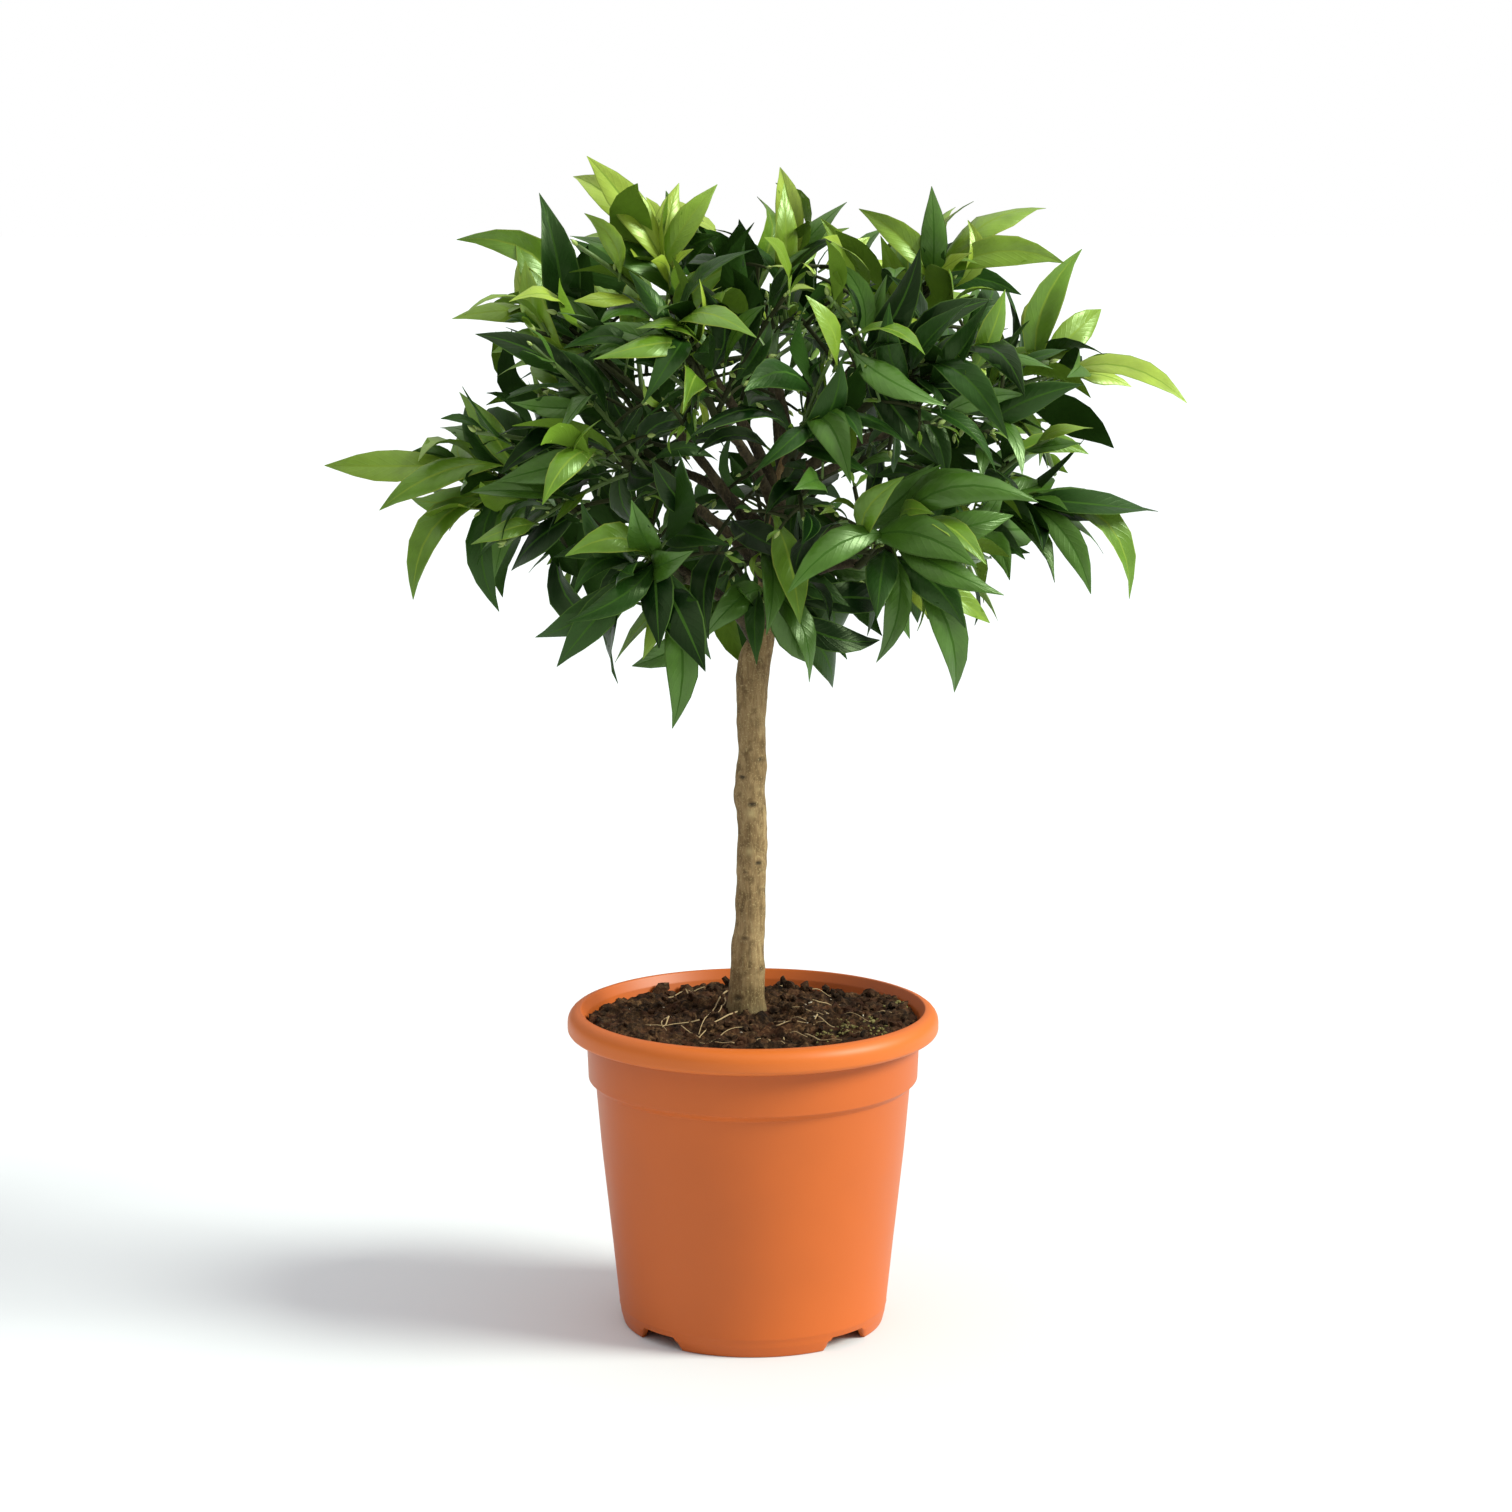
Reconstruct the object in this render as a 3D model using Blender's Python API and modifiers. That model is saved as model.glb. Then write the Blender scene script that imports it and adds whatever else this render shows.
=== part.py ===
"""A kumquat grown as a small standard tree, in a terracotta-coloured plastic nursery pot.

Metres, +Z up. The origin is on the floor under the middle of the pot, and the front of the tree looks
along -Y. The trunk stands in the soil, boughs leave it, and each bough carries one mass of foliage: a
stem, the shoots that branch from it, and the leaves that wind up each shoot."""

import math
from typing import NamedTuple

import bmesh
import bpy
import numpy as np

# Whole tree
CLEARANCE = 0.0003
WELD = 0.00002
CROWN_CENTRE = np.array([0.008, 0.0, 0.505])
CROWN_REACH = np.array([0.188, 0.180, 0.137])
CROWN_SQUARENESS = 2.5

# Pot, as (radius, height) down its outside
RIM_TOP = 0.1819
RIM_RADIUS = 0.1050
POT_SIDES = 36
POT_WALL = 0.0018
POT_RIM = [(0.0978, RIM_TOP), (0.1005, 0.1816), (0.1031, 0.1800), (0.1046, 0.1774), (0.1050, 0.1737),
           (0.1045, 0.1702), (0.1030, 0.1682)]
POT_RIM_HOLLOW = [(0.1014, 0.1690), (0.1016, 0.1760), (0.0966, 0.1760), (0.0942, 0.1680)]
POT_BODY = [(0.0932, 0.1424), (0.0891, 0.1387), (0.0861, 0.1020), (0.0799, 0.0450), (0.0759, 0.0070),
            (0.0741, 0.0)]
THROAT_IN = 0.0004
THROAT_UP = 0.0010
FOOT_INNER_RADIUS = 0.0716
CHANNEL_HEIGHT = 0.0085
CHANNEL_RADIUS = 0.0480
FLOOR_THICKNESS = 0.0025
NOTCH_COUNT = 4
NOTCH_HEIGHT = 0.0074
NOTCH_WIDTH_TOP = 0.024
NOTCH_WIDTH_FOOT = 0.034
CUT_SPARE = 0.004
DRAIN_COUNT = 6
DRAIN_RADIUS = 0.0035
DRAIN_CIRCLE = 0.0600
DRAIN_SIDES = 8
DRAIN_DEPTH = 0.012

# Soil, as (radius, height) of its top from the trunk to the wall
SOIL_TOP = [(0.0, 0.1790), (0.0240, 0.1790), (0.0600, 0.1768), (0.0905, 0.1745)]

# Trunk, as (height, sideways place, radius) from the flat cut at the soil to the fork
TRUNK = [(0.1793, -0.0040, 0.0120), (0.1860, -0.0040, 0.0107), (0.2020, -0.0030, 0.0100),
         (0.2140, -0.0031, 0.0093), (0.2280, -0.0017, 0.0085), (0.2620, -0.0011, 0.0084),
         (0.2900, -0.0005, 0.0084), (0.3035, -0.0019, 0.0087), (0.3170, -0.0008, 0.0081),
         (0.3510, -0.0008, 0.0081), (0.3710, 0.0000, 0.0089), (0.3810, 0.0012, 0.0087),
         (0.3950, 0.0058, 0.0067), (0.4250, 0.0090, 0.0058), (0.4860, 0.0180, 0.0050),
         (0.5030, 0.0245, 0.0044)]
TRUNK_SIDES = 10

# Boughs and twigs
BOUGH_LIFT_SHARE = 0.10
BOUGH_FOOT_RADIUS = 0.0034
BOUGH_TIP_RADIUS = 0.0023
BOUGH_SIDES = 6
BOUGH_STATIONS = 5
STEM_RADIUS = 0.0025
STEM_TIP_RADIUS = 0.0021
SHOOT_RADIUS = 0.0013
SHOOT_TIP_RADIUS = 0.0012
STATIONS = 4
STEM_COLLAR = 0.003
STEM_LIFT = 0.003
STEM_BARE = 0.2
FOOT_SPREAD = (0.3, 0.7)
SHOOT_LIFT_SHARE = 0.05
SHOOT_TRIES = 5
TWIG_MARKS = 16
TWIG_ROOM = 0.0020
TIP_OVERLAP = 0.0012
LIMB_ROOM = 0.0025
BALL_STEP = 0.004

# Ends of the shoots
AIM_TRIES = 240
AIM_DRAWN_IN = np.array([0.85, 0.85, 1.0])
AIM_SPREAD = np.array([0.052, 0.052, 0.044])
AIM_INSET = 0.006
AIM_LIMIT = 0.93
AIM_FROM_HEART = 0.024
AIM_FROM_AXIS = 0.020

# Leaves
LEAF_LENGTH = (0.054, 0.078)
LEAF_WIDTH_SHARE = 0.35
LEAF_WIDTH_SPREAD = (0.88, 1.12)
LEAF_WIDEST = 0.46
LEAF_ARCH = (0.03, 0.13)
LEAF_THICKNESS = 0.0019
LEAF_SINK = 0.0009
LEAF_STEP = 0.0150
LEAVES_LEAST = 2
FIRST_LEAF = 0.97
LEAF_OPENING = 84.0
LEAF_CLOSING = 40.0
LEAF_SWAY = 12.0
LEAF_OUTWARD = 0.30
LEAF_RISE = 0.42
LEAF_DROOP = 0.10
LEAF_SKYWARD = 0.8
LEAF_TILT = 0.55
AGE_SPREAD = (0.25, 1.1)
TIP_YOUTH = 0.55
YOUNG_LENGTH = 0.72
GOLDEN_TURN = math.radians(137.5)
GOLDEN_SHARE = 0.618
SIDEWAYS = np.array([0.31, 0.17, 0.94])
LOW_HEART = np.array([0.0, 0.0, 0.03])

# The leaves that reach furthest
LEADING_LENGTH = (0.062, 0.072)
LEADING_LEAST = 0.040
LEADING_ROOM = 0.006
LEADING_WIDTH_SHARE = 0.30
LEADING_DROOP = 0.10
LEADING_FACING = np.array([0.0, -0.8, 0.8])
LEADING_TILT = 0.3
LEADING_ARCH = (0.06, 0.12)
LEADING_AGE = (0.3, 0.8)
LEADING_LIMIT = 1.10

# Room that a leaf keeps, and how it is tried again
CROWN_LIMIT = 0.99
MARK_SHARES = (0.35, 0.55, 0.75, 0.95)
LEAF_ROOM = 0.0035
BLADE_START = 0.005
BLADE_ROOM = 0.0013
LEAF_TRIES = 9
TRY_TURN = 0.35
TRY_CLOSE = 0.10
TRY_SHORTEN = 0.07


class Mass(NamedTuple):
    """One mass of foliage: where its bough leaves the trunk, the bough's tip, the middle of its own
    space, the furthest leaf tips that show in the crown's outline, how many other shoots it has, and
    the seed of its growth."""

    name: str
    fork_height: float
    bough_tip: tuple
    heart: tuple
    reach: list
    shoots: int
    seed: int


MASSES = [
    Mass("left_low", 0.392, (-0.070, -0.012, 0.446), (-0.130, -0.018, 0.480),
         [(-0.233, -0.030, 0.491), (-0.202, -0.045, 0.468), (-0.184, -0.050, 0.420),
          (-0.160, -0.018, 0.530), (-0.139, -0.030, 0.411), (-0.173, 0.004, 0.509)], 2, 33),
    Mass("left_upper", 0.432, (-0.054, 0.002, 0.520), (-0.110, 0.004, 0.562),
         [(-0.162, 0.000, 0.612), (-0.163, -0.024, 0.570), (-0.144, 0.010, 0.550)], 3, 6),
    Mass("top_left", 0.470, (-0.026, -0.016, 0.544), (-0.048, -0.036, 0.590),
         [(-0.089, -0.030, 0.657), (-0.098, 0.000, 0.646), (-0.019, -0.034, 0.642)],
         3, 5),
    Mass("top_mid", 0.494, (0.010, 0.014, 0.550), (0.018, 0.024, 0.588),
         [(0.015, 0.034, 0.651), (0.052, 0.030, 0.632)], 4, 9),
    Mass("top_right", 0.500, (0.062, -0.010, 0.548), (0.096, -0.026, 0.582),
         [(0.096, -0.030, 0.641), (0.160, 0.000, 0.629), (0.057, -0.030, 0.629),
          (0.168, -0.030, 0.600)], 2, 3),
    Mass("right_upper", 0.478, (0.096, 0.002, 0.508), (0.160, 0.004, 0.530),
         [(0.180, 0.000, 0.607), (0.237, -0.018, 0.524), (0.216, -0.030, 0.508),
          (0.167, -0.066, 0.541)], 3, 14),
    Mass("right_low", 0.414, (0.082, -0.014, 0.450), (0.148, -0.026, 0.466),
         [(0.221, -0.030, 0.466), (0.206, -0.030, 0.418), (0.183, -0.050, 0.423)], 3, 21),
    Mass("front_right_low", 0.404, (0.056, -0.072, 0.442), (0.074, -0.102, 0.452),
         [(0.018, -0.138, 0.434), (0.130, -0.138, 0.433), (0.065, -0.110, 0.394),
          (0.107, -0.096, 0.376), (0.148, -0.126, 0.480)], 1, 3),
    Mass("front_left_low", 0.388, (-0.038, -0.074, 0.434), (-0.050, -0.104, 0.444),
         [(-0.115, -0.100, 0.406), (-0.103, -0.112, 0.392), (-0.097, -0.132, 0.418),
          (-0.042, -0.130, 0.362), (-0.022, -0.112, 0.396), (-0.040, -0.144, 0.500)], 1, 20),
    Mass("front_low", 0.398, (0.002, -0.036, 0.418), (0.004, -0.058, 0.420),
         [(0.002, -0.082, 0.389), (0.044, -0.024, 0.368)], 3, 17),
    Mass("front_middle", 0.450, (0.018, -0.060, 0.488), (0.026, -0.106, 0.512),
         [(-0.002, -0.150, 0.495), (0.056, -0.150, 0.512)], 4, 16),
    Mass("front_left_upper", 0.460, (-0.018, -0.054, 0.516), (-0.036, -0.092, 0.556),
         [(0.002, -0.152, 0.566), (-0.056, -0.142, 0.532), (-0.060, -0.096, 0.592)], 3, 30),
    Mass("front_right_upper", 0.488, (0.052, -0.048, 0.518), (0.086, -0.094, 0.542),
         [(0.131, -0.140, 0.514), (0.114, -0.128, 0.585)], 4, 40),
    Mass("left_front", 0.424, (-0.044, -0.040, 0.476), (-0.084, -0.078, 0.502), [], 5, 44),
    Mass("back_low", 0.406, (0.008, 0.050, 0.432), (0.008, 0.092, 0.430),
         [(0.054, 0.060, 0.372), (-0.080, 0.076, 0.368)], 4, 29),
    Mass("back_left", 0.446, (-0.046, 0.048, 0.482), (-0.082, 0.090, 0.498), [], 6, 26),
    Mass("back_right", 0.462, (0.060, 0.052, 0.486), (0.094, 0.092, 0.500), [], 6, 8),
    Mass("back_top", 0.480, (0.010, 0.056, 0.532), (0.006, 0.098, 0.566), [], 6, 28),
]


# Growth of the crown

class Twig(NamedTuple):
    """A tapering length of wood: its centre line and its radius at the foot and at the tip."""

    line: np.ndarray
    foot_radius: float
    tip_radius: float


class Leaf(NamedTuple):
    """A leaf by its chord: the root, the way to the tip, the side that faces up, and its sizes.
    arch is how far its middle stands off the chord, and age runs from 0, new, to 1, old."""

    root: np.ndarray
    along: np.ndarray
    up: np.ndarray
    length: float
    width: float
    arch: float
    age: float


def unit(vector):
    """The vector at length 1."""
    return vector / np.linalg.norm(vector)


def point_on(line, share):
    """The point at a share of a line's stations, from 0 at its foot to 1 at its tip."""
    stations = np.linspace(0.0, 1.0, len(line))
    return np.array([np.interp(share, stations, line[:, k]) for k in range(3)])


def bend(start, end, lift, count):
    """A parabola from start to end in count points, whose middle stands lift above the chord."""
    t = np.linspace(0.0, 1.0, count)[:, None]
    return start + (end - start) * t + np.array([0.0, 0.0, 4.0 * lift]) * t * (1.0 - t)


def trunk_line():
    """The trunk's centre line and its radius at each station."""
    height, side, radius = np.array(TRUNK).T
    return np.stack([side, np.zeros(len(side)), height], axis=1), radius


def bough_twig(mass):
    """The bough of a mass, from the trunk's axis to its tip, rising steeply first and then leaning out."""
    line, _ = trunk_line()
    foot = np.array([np.interp(mass.fork_height, line[:, 2], line[:, 0]), 0.0, mass.fork_height])
    tip = np.array(mass.bough_tip)
    rise = BOUGH_LIFT_SHARE * np.linalg.norm(tip[:2] - foot[:2])
    return Twig(bend(foot, tip, rise, BOUGH_STATIONS), BOUGH_FOOT_RADIUS, BOUGH_TIP_RADIUS)


def wood_balls():
    """The trunk and the boughs as close-set balls, (middles, radii), for leaves to keep clear of."""
    line, radius = trunk_line()
    runs = [(line, radius)]
    for mass in MASSES:
        bough = bough_twig(mass)
        runs.append((bough.line, np.linspace(bough.foot_radius, bough.tip_radius, BOUGH_STATIONS)))
    middles, radii = [], []
    for line, radius in runs:
        coarse = np.linspace(0.0, 1.0, len(line))
        fine = np.linspace(0.0, 1.0, int(np.linalg.norm(line[-1] - line[0]) / BALL_STEP) + 2)
        middles.append(np.stack([np.interp(fine, coarse, line[:, k]) for k in range(3)], axis=1))
        radii.append(np.interp(fine, coarse, radius))
    return np.concatenate(middles), np.concatenate(radii)


def own_space(mass):
    """The planes half-way between the heart of this mass and every other one: points p of its own space
    have normals @ p < offsets."""
    heart = np.array(mass.heart)
    others = np.array([other.heart for other in MASSES if other.name != mass.name])
    normals = others - heart
    normals /= np.linalg.norm(normals, axis=1)[:, None]
    offsets = np.einsum("ij,ij->i", normals, (others + heart) / 2.0) - CLEARANCE
    return normals, offsets


def crown_level(points):
    """How far points stand from the crown's middle, as a share of its rounded-box outline."""
    share = np.abs((points - CROWN_CENTRE) / CROWN_REACH) ** CROWN_SQUARENESS
    return share.sum(axis=-1) ** (1.0 / CROWN_SQUARENESS)


def leaf_side(leaf):
    """The leaf's sideways unit vector."""
    return np.cross(leaf.along, leaf.up)


def leaf_middle(leaf):
    """The point on the midrib where the leaf is widest."""
    return leaf.root + leaf.length * (LEAF_WIDEST * leaf.along + leaf.arch * leaf.up)


def leaf_corners(leaf):
    """Corners of the leaf's solid: the root, sunk in its twig, the two edges, the keel and the tip."""
    side = leaf_side(leaf) * leaf.width / 2.0
    middle = leaf_middle(leaf)
    keel = middle - leaf.up * LEAF_THICKNESS
    root = leaf.root - leaf.along * LEAF_SINK
    return np.array([root, middle + side, middle - side, keel, leaf.root + leaf.along * leaf.length])


def leaf_marks(leaf):
    """Points spread over the outer part of a leaf, for the room that it keeps from other leaves."""
    side = leaf_side(leaf)
    marks = []
    for share in MARK_SHARES:
        height = leaf.arch * 4.0 * share * (1.0 - share)
        middle = leaf.root + leaf.length * (share * leaf.along + height * leaf.up)
        half = 0.5 * leaf.width * math.sin(math.pi * share ** 0.85)
        marks += [middle, middle + side * half, middle - side * half]
    return np.array(marks)


def aims_of(mass, rng, space):
    """Where the shoots of a mass end: first those that carry the furthest leaf tips, then seeded ones, each
    the candidate in the mass's own space that lies furthest from the earlier ones."""
    heart = np.array(mass.heart)
    normals, offsets = space
    chosen = [np.array(tip) for tip in mass.reach]
    aims = [(tip, True) for tip in chosen]
    for _ in range(mass.shoots):
        tries = heart * AIM_DRAWN_IN + rng.normal(size=(AIM_TRIES, 3)) * AIM_SPREAD
        held = (tries @ normals.T < offsets - AIM_INSET).all(axis=1) & (crown_level(tries) < AIM_LIMIT)
        held &= np.linalg.norm(tries - heart, axis=1) > AIM_FROM_HEART
        held &= np.linalg.norm(tries[:, :2], axis=1) > AIM_FROM_AXIS
        tries = tries[held]
        if len(tries) == 0:
            continue
        apart = np.min([np.linalg.norm(tries - other, axis=1) for other in chosen + [heart]], axis=0)
        best = tries[np.argmax(apart)]
        chosen.append(best)
        aims.append((best, False))
    return aims


def leaf_at(root, tangent, turn, share, rng, tighten):
    """A leaf at a node of a shoot. It opens from the shoot by an angle that closes towards the shoot's tip,
    leans out from the crown's middle, and droops low in the crown and rises at its top."""
    side = unit(np.cross(tangent, SIDEWAYS))
    other = np.cross(tangent, side)
    opening = math.radians(LEAF_OPENING - LEAF_CLOSING * share + rng.uniform(-LEAF_SWAY, LEAF_SWAY))
    opening *= 1.0 - TRY_CLOSE * tighten
    along = math.cos(opening) * tangent
    along = along + math.sin(opening) * (math.cos(turn) * side + math.sin(turn) * other)
    outward = unit((root - CROWN_CENTRE + LOW_HEART) / CROWN_REACH)
    height = (root[2] - CROWN_CENTRE[2]) / CROWN_REACH[2]
    along = unit(along + LEAF_OUTWARD * outward + np.array([0.0, 0.0, LEAF_RISE * height - LEAF_DROOP]))
    facing = outward + np.array([0.0, 0.0, LEAF_SKYWARD]) + LEAF_TILT * rng.normal(size=3)
    up = unit(facing - (facing @ along) * along)
    youth = TIP_YOUTH * share ** 3 * (0.6 + 0.4 * height)
    age = float(np.clip(rng.uniform(*AGE_SPREAD) - youth, 0.0, 1.0))
    length = rng.uniform(*LEAF_LENGTH) * (YOUNG_LENGTH + (1.0 - YOUNG_LENGTH) * age)
    length *= 1.0 - TRY_SHORTEN * tighten
    width = length * LEAF_WIDTH_SHARE * rng.uniform(*LEAF_WIDTH_SPREAD)
    return Leaf(root, along, up, length, width, rng.uniform(*LEAF_ARCH), age)


def leading_leaf(heart, tip, rng):
    """The leaf at the end of a leading shoot, whose tip is one of the furthest of the crown."""
    longest = rng.uniform(*LEADING_LENGTH)
    length = float(np.clip(np.linalg.norm(tip - heart) - LEADING_ROOM, LEADING_LEAST, longest))
    along = unit(unit(tip - heart) - np.array([0.0, 0.0, LEADING_DROOP]))
    facing = LEADING_FACING + LEADING_TILT * rng.normal(size=3)
    up = unit(facing - (facing @ along) * along)
    age = rng.uniform(*LEADING_AGE)
    width = length * LEADING_WIDTH_SHARE
    return Leaf(tip - along * length, along, up, length, width, rng.uniform(*LEADING_ARCH), age)


def blade_plates(leaf, lift):
    """The leaf's blade as four triangles round its middle, moved off it by lift. It starts a little way
    along from the root, so that the leaf's own shoot doesn't count as crossing it."""
    side = leaf_side(leaf)
    rise = leaf.up * lift
    middle = leaf_middle(leaf) + rise
    root = leaf.root + leaf.along * BLADE_START + rise
    tip = leaf.root + leaf.along * leaf.length + rise
    left, right = middle + side * leaf.width / 2.0, middle - side * leaf.width / 2.0
    return np.array([[root, left, middle], [root, middle, right], [left, tip, middle], [middle, tip, right]])


def plate_edges(plates):
    """The edges of triangles, as (start, end) pairs."""
    return np.concatenate([plates[:, [0, 1]], plates[:, [1, 2]], plates[:, [2, 0]]])


def crossing(edges, plates):
    """Whether any edge passes through any triangle: each pair is solved for the point where the edge meets
    the triangle's plane, and that point is tested against the triangle's sides."""
    start, way = edges[:, None, 0], edges[:, None, 1] - edges[:, None, 0]
    first = plates[None, :, 1] - plates[None, :, 0]
    second = plates[None, :, 2] - plates[None, :, 0]
    across = np.cross(way, second)
    scale = (first * across).sum(axis=2)
    scale = np.where(np.abs(scale) < 1e-15, 1e-15, scale)
    offset = start - plates[None, :, 0]
    u = (offset * across).sum(axis=2) / scale
    turned_offset = np.cross(offset, first)
    v = (way * turned_offset).sum(axis=2) / scale
    t = (second * turned_offset).sum(axis=2) / scale
    return bool(((u >= 0) & (v >= 0) & (u + v <= 1) & (t >= 0) & (t <= 1)).any())


def clear_of_wood(line, wood):
    """Whether a twig's line keeps its room from the trunk and every bough."""
    middles, radii = wood
    fine = np.linspace(0.0, 1.0, TWIG_MARKS)
    points = np.stack([point_on(line, share) for share in fine])
    return (np.linalg.norm(points[:, None] - middles[None], axis=2) - radii).min() > TWIG_ROOM


def shoots_of(mass, rng, space, wood):
    """The stem of a mass and its shoots: (twigs, runs), each run a shoot's line, whether it leads to one of
    the furthest leaf tips, and that last leaf. A shoot that would touch a limb tries other places on the
    stem, then is skipped."""
    bough = bough_twig(mass).line
    heart = np.array(mass.heart)
    onward = unit(bough[-1] - bough[-2])
    start = bough[-1] + onward * CLEARANCE
    stem = np.vstack([start, bend(start + onward * STEM_COLLAR, heart, STEM_LIFT, STATIONS - 1)])
    twigs = [Twig(stem, STEM_RADIUS, STEM_TIP_RADIUS)]
    runs = []
    for k, (aim, leading) in enumerate(aims_of(mass, rng, space)):
        place = (k + rng.uniform(*FOOT_SPREAD)) * GOLDEN_SHARE
        last = None
        end = aim
        if leading:
            last = leading_leaf(heart, aim, rng)
            end = last.root + last.along * TIP_OVERLAP
        for attempt in range(SHOOT_TRIES):
            share = (place + attempt * GOLDEN_SHARE) % 1.0
            foot = point_on(stem, STEM_BARE + (1.0 - STEM_BARE) * share)
            line = bend(foot, end, SHOOT_LIFT_SHARE * np.linalg.norm(end - foot), STATIONS)
            if clear_of_wood(line, wood):
                twigs.append(Twig(line, SHOOT_RADIUS, SHOOT_TIP_RADIUS))
                runs.append((line, leading, last))
                break
    return twigs, runs


def grow(mass, wood):
    """The twigs and leaves of one mass. A stem runs from the bough's tip to the heart, shoots leave it for
    their aims, and leaves wind up each shoot by the golden angle. A leaf that would leave the mass's own
    space, touch a limb, cross a twig or crowd another leaf is turned a little and tried again, then
    skipped."""
    rng = np.random.default_rng(mass.seed)
    space = own_space(mass)
    normals, offsets = space
    middles, radii = wood
    twigs, runs = shoots_of(mass, rng, space, wood)
    twig_edges = np.concatenate([np.stack([twig.line[:-1], twig.line[1:]], axis=1) for twig in twigs])
    leaves, marks, plates = [], [], []

    def add(leaf):
        leaves.append(leaf)
        marks.append(leaf_marks(leaf))
        plates.append(blade_plates(leaf, 0.0))

    def fits(leaf, limit):
        own = leaf_marks(leaf)
        points = np.concatenate([leaf_corners(leaf), own])
        if (points @ normals.T >= offsets).any() or crown_level(own).max() > limit:
            return False
        if (np.linalg.norm(points[:, None] - middles[None], axis=2) - radii).min() < LIMB_ROOM:
            return False
        layers = np.concatenate([blade_plates(leaf, lift) for lift in (-BLADE_ROOM, 0.0, BLADE_ROOM)])
        if crossing(twig_edges, layers):
            return False
        if not marks:
            return True
        others = np.concatenate(plates)
        if np.linalg.norm(own[:, None] - np.concatenate(marks)[None], axis=2).min() < LEAF_ROOM:
            return False
        return not (crossing(plate_edges(layers), others) or crossing(plate_edges(others), layers))

    for _, leading, last in runs:
        if leading and fits(last, math.inf):
            add(last)
    for line, leading, _ in runs:
        tangent = unit(line[-1] - line[0])
        count = max(LEAVES_LEAST, round(np.linalg.norm(line[-1] - line[0]) / LEAF_STEP))
        turn = rng.uniform(0.0, math.tau)
        for k in range(count):
            share = FIRST_LEAF - k / (count + 0.6)
            root = point_on(line, share)
            turn += GOLDEN_TURN
            for attempt in range(LEAF_TRIES):
                angle = turn + (attempt % 2 * 2 - 1) * attempt * TRY_TURN
                leaf = leaf_at(root, tangent, angle, share, rng, attempt)
                if fits(leaf, LEADING_LIMIT if leading else CROWN_LIMIT):
                    add(leaf)
                    break
    return twigs, leaves


# Solids

LEAF_FACES = [(0, 1, 2), (0, 2, 3), (0, 3, 1), (4, 2, 1), (4, 3, 2), (4, 1, 3)]


def twig_solid(twig):
    """Corners and faces of a three-sided tapering twig with closed ends. Its rings stand square to its
    first length and all turn the same way, so that its sides are flat."""
    line = twig.line
    way = unit(line[1] - line[0])
    side = unit(np.cross(way, SIDEWAYS))
    other = np.cross(way, side)
    radius = np.linspace(twig.foot_radius, twig.tip_radius, len(line))[:, None]
    rings = [line + radius * (side * math.cos(turn) + other * math.sin(turn))
             for turn in (0.0, math.tau / 3.0, 2.0 * math.tau / 3.0)]
    corners = np.stack(rings, axis=1).reshape(-1, 3)
    faces = [(2, 1, 0)]
    for k in range(len(line) - 1):
        low, high = 3 * k, 3 * k + 3
        for a, b in ((0, 1), (1, 2), (2, 0)):
            faces.append((low + a, low + b, high + b, high + a))
    top = 3 * len(line) - 3
    faces.append((top, top + 1, top + 2))
    return corners, faces


def new_object(name, mesh, collection):
    """An object for a mesh, in a collection."""
    thing = bpy.data.objects.new(name, mesh)
    collection.objects.link(thing)
    return thing


def solid_object(name, corners, faces, collection):
    """An object with the given corners and faces, its faces turned outwards."""
    mesh = bpy.data.meshes.new(name)
    mesh.from_pydata([tuple(corner) for corner in corners], [], faces)
    work = bmesh.new()
    work.from_mesh(mesh)
    bmesh.ops.recalc_face_normals(work, faces=work.faces)
    work.to_mesh(mesh)
    work.free()
    return new_object(name, mesh, collection)


def limb_object(name, line, radii, sides, collection):
    """A tapering round limb: a curve with a radius at each point, made a mesh with its caps welded on."""
    curve = bpy.data.curves.new(name, "CURVE")
    curve.dimensions = "3D"
    curve.bevel_depth = 1.0
    curve.bevel_resolution = (sides - 4) // 2
    curve.use_fill_caps = True
    spline = curve.splines.new("POLY")
    spline.points.add(len(line) - 1)
    for point, place, radius in zip(spline.points, line, radii):
        point.co = (*place, 1.0)
        point.radius = radius
    guide = new_object(name + "_guide", curve, collection)
    evaluated = guide.evaluated_get(bpy.context.evaluated_depsgraph_get())
    mesh = bpy.data.meshes.new_from_object(evaluated)
    bpy.data.objects.remove(guide)
    work = bmesh.new()
    work.from_mesh(mesh)
    bmesh.ops.remove_doubles(work, verts=work.verts, dist=WELD)
    bmesh.ops.recalc_face_normals(work, faces=work.faces)
    work.to_mesh(mesh)
    work.free()
    return new_object(name, mesh, collection)


def finish(thing, material, smooth_angle):
    """Gives a solid its material and shades its round faces smooth."""
    thing.data.materials.clear()
    thing.data.materials.append(material)
    thing.data.shade_smooth()
    thing.data.set_sharp_from_angle(angle=math.radians(smooth_angle))


def principled(name, colour, roughness):
    """A plain Principled material."""
    material = bpy.data.materials.new(name)
    material.use_nodes = True
    shader = material.node_tree.nodes["Principled BSDF"]
    shader.inputs["Base Color"].default_value = (*colour, 1.0)
    shader.inputs["Roughness"].default_value = roughness
    return material


def turned(name, profile, collection):
    """A solid turned about Z from a (radius, height) profile that starts and ends on the axis."""
    corners = [(radius, 0.0, height) for radius, height in profile]
    edges = [(k, k + 1) for k in range(len(profile) - 1)]
    mesh = bpy.data.meshes.new(name)
    mesh.from_pydata(corners, edges, [])
    thing = new_object(name, mesh, collection)
    screw = thing.modifiers.new("turn", "SCREW")
    screw.axis = "Z"
    screw.steps = POT_SIDES
    screw.render_steps = POT_SIDES
    screw.use_merge_vertices = True
    screw.merge_threshold = WELD
    return thing


def cut(thing, cutter):
    """Takes the cutter away from a solid."""
    boolean = thing.modifiers.new("cut " + cutter.name, "BOOLEAN")
    boolean.operation = "DIFFERENCE"
    boolean.solver = "EXACT"
    boolean.object = cutter


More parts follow.
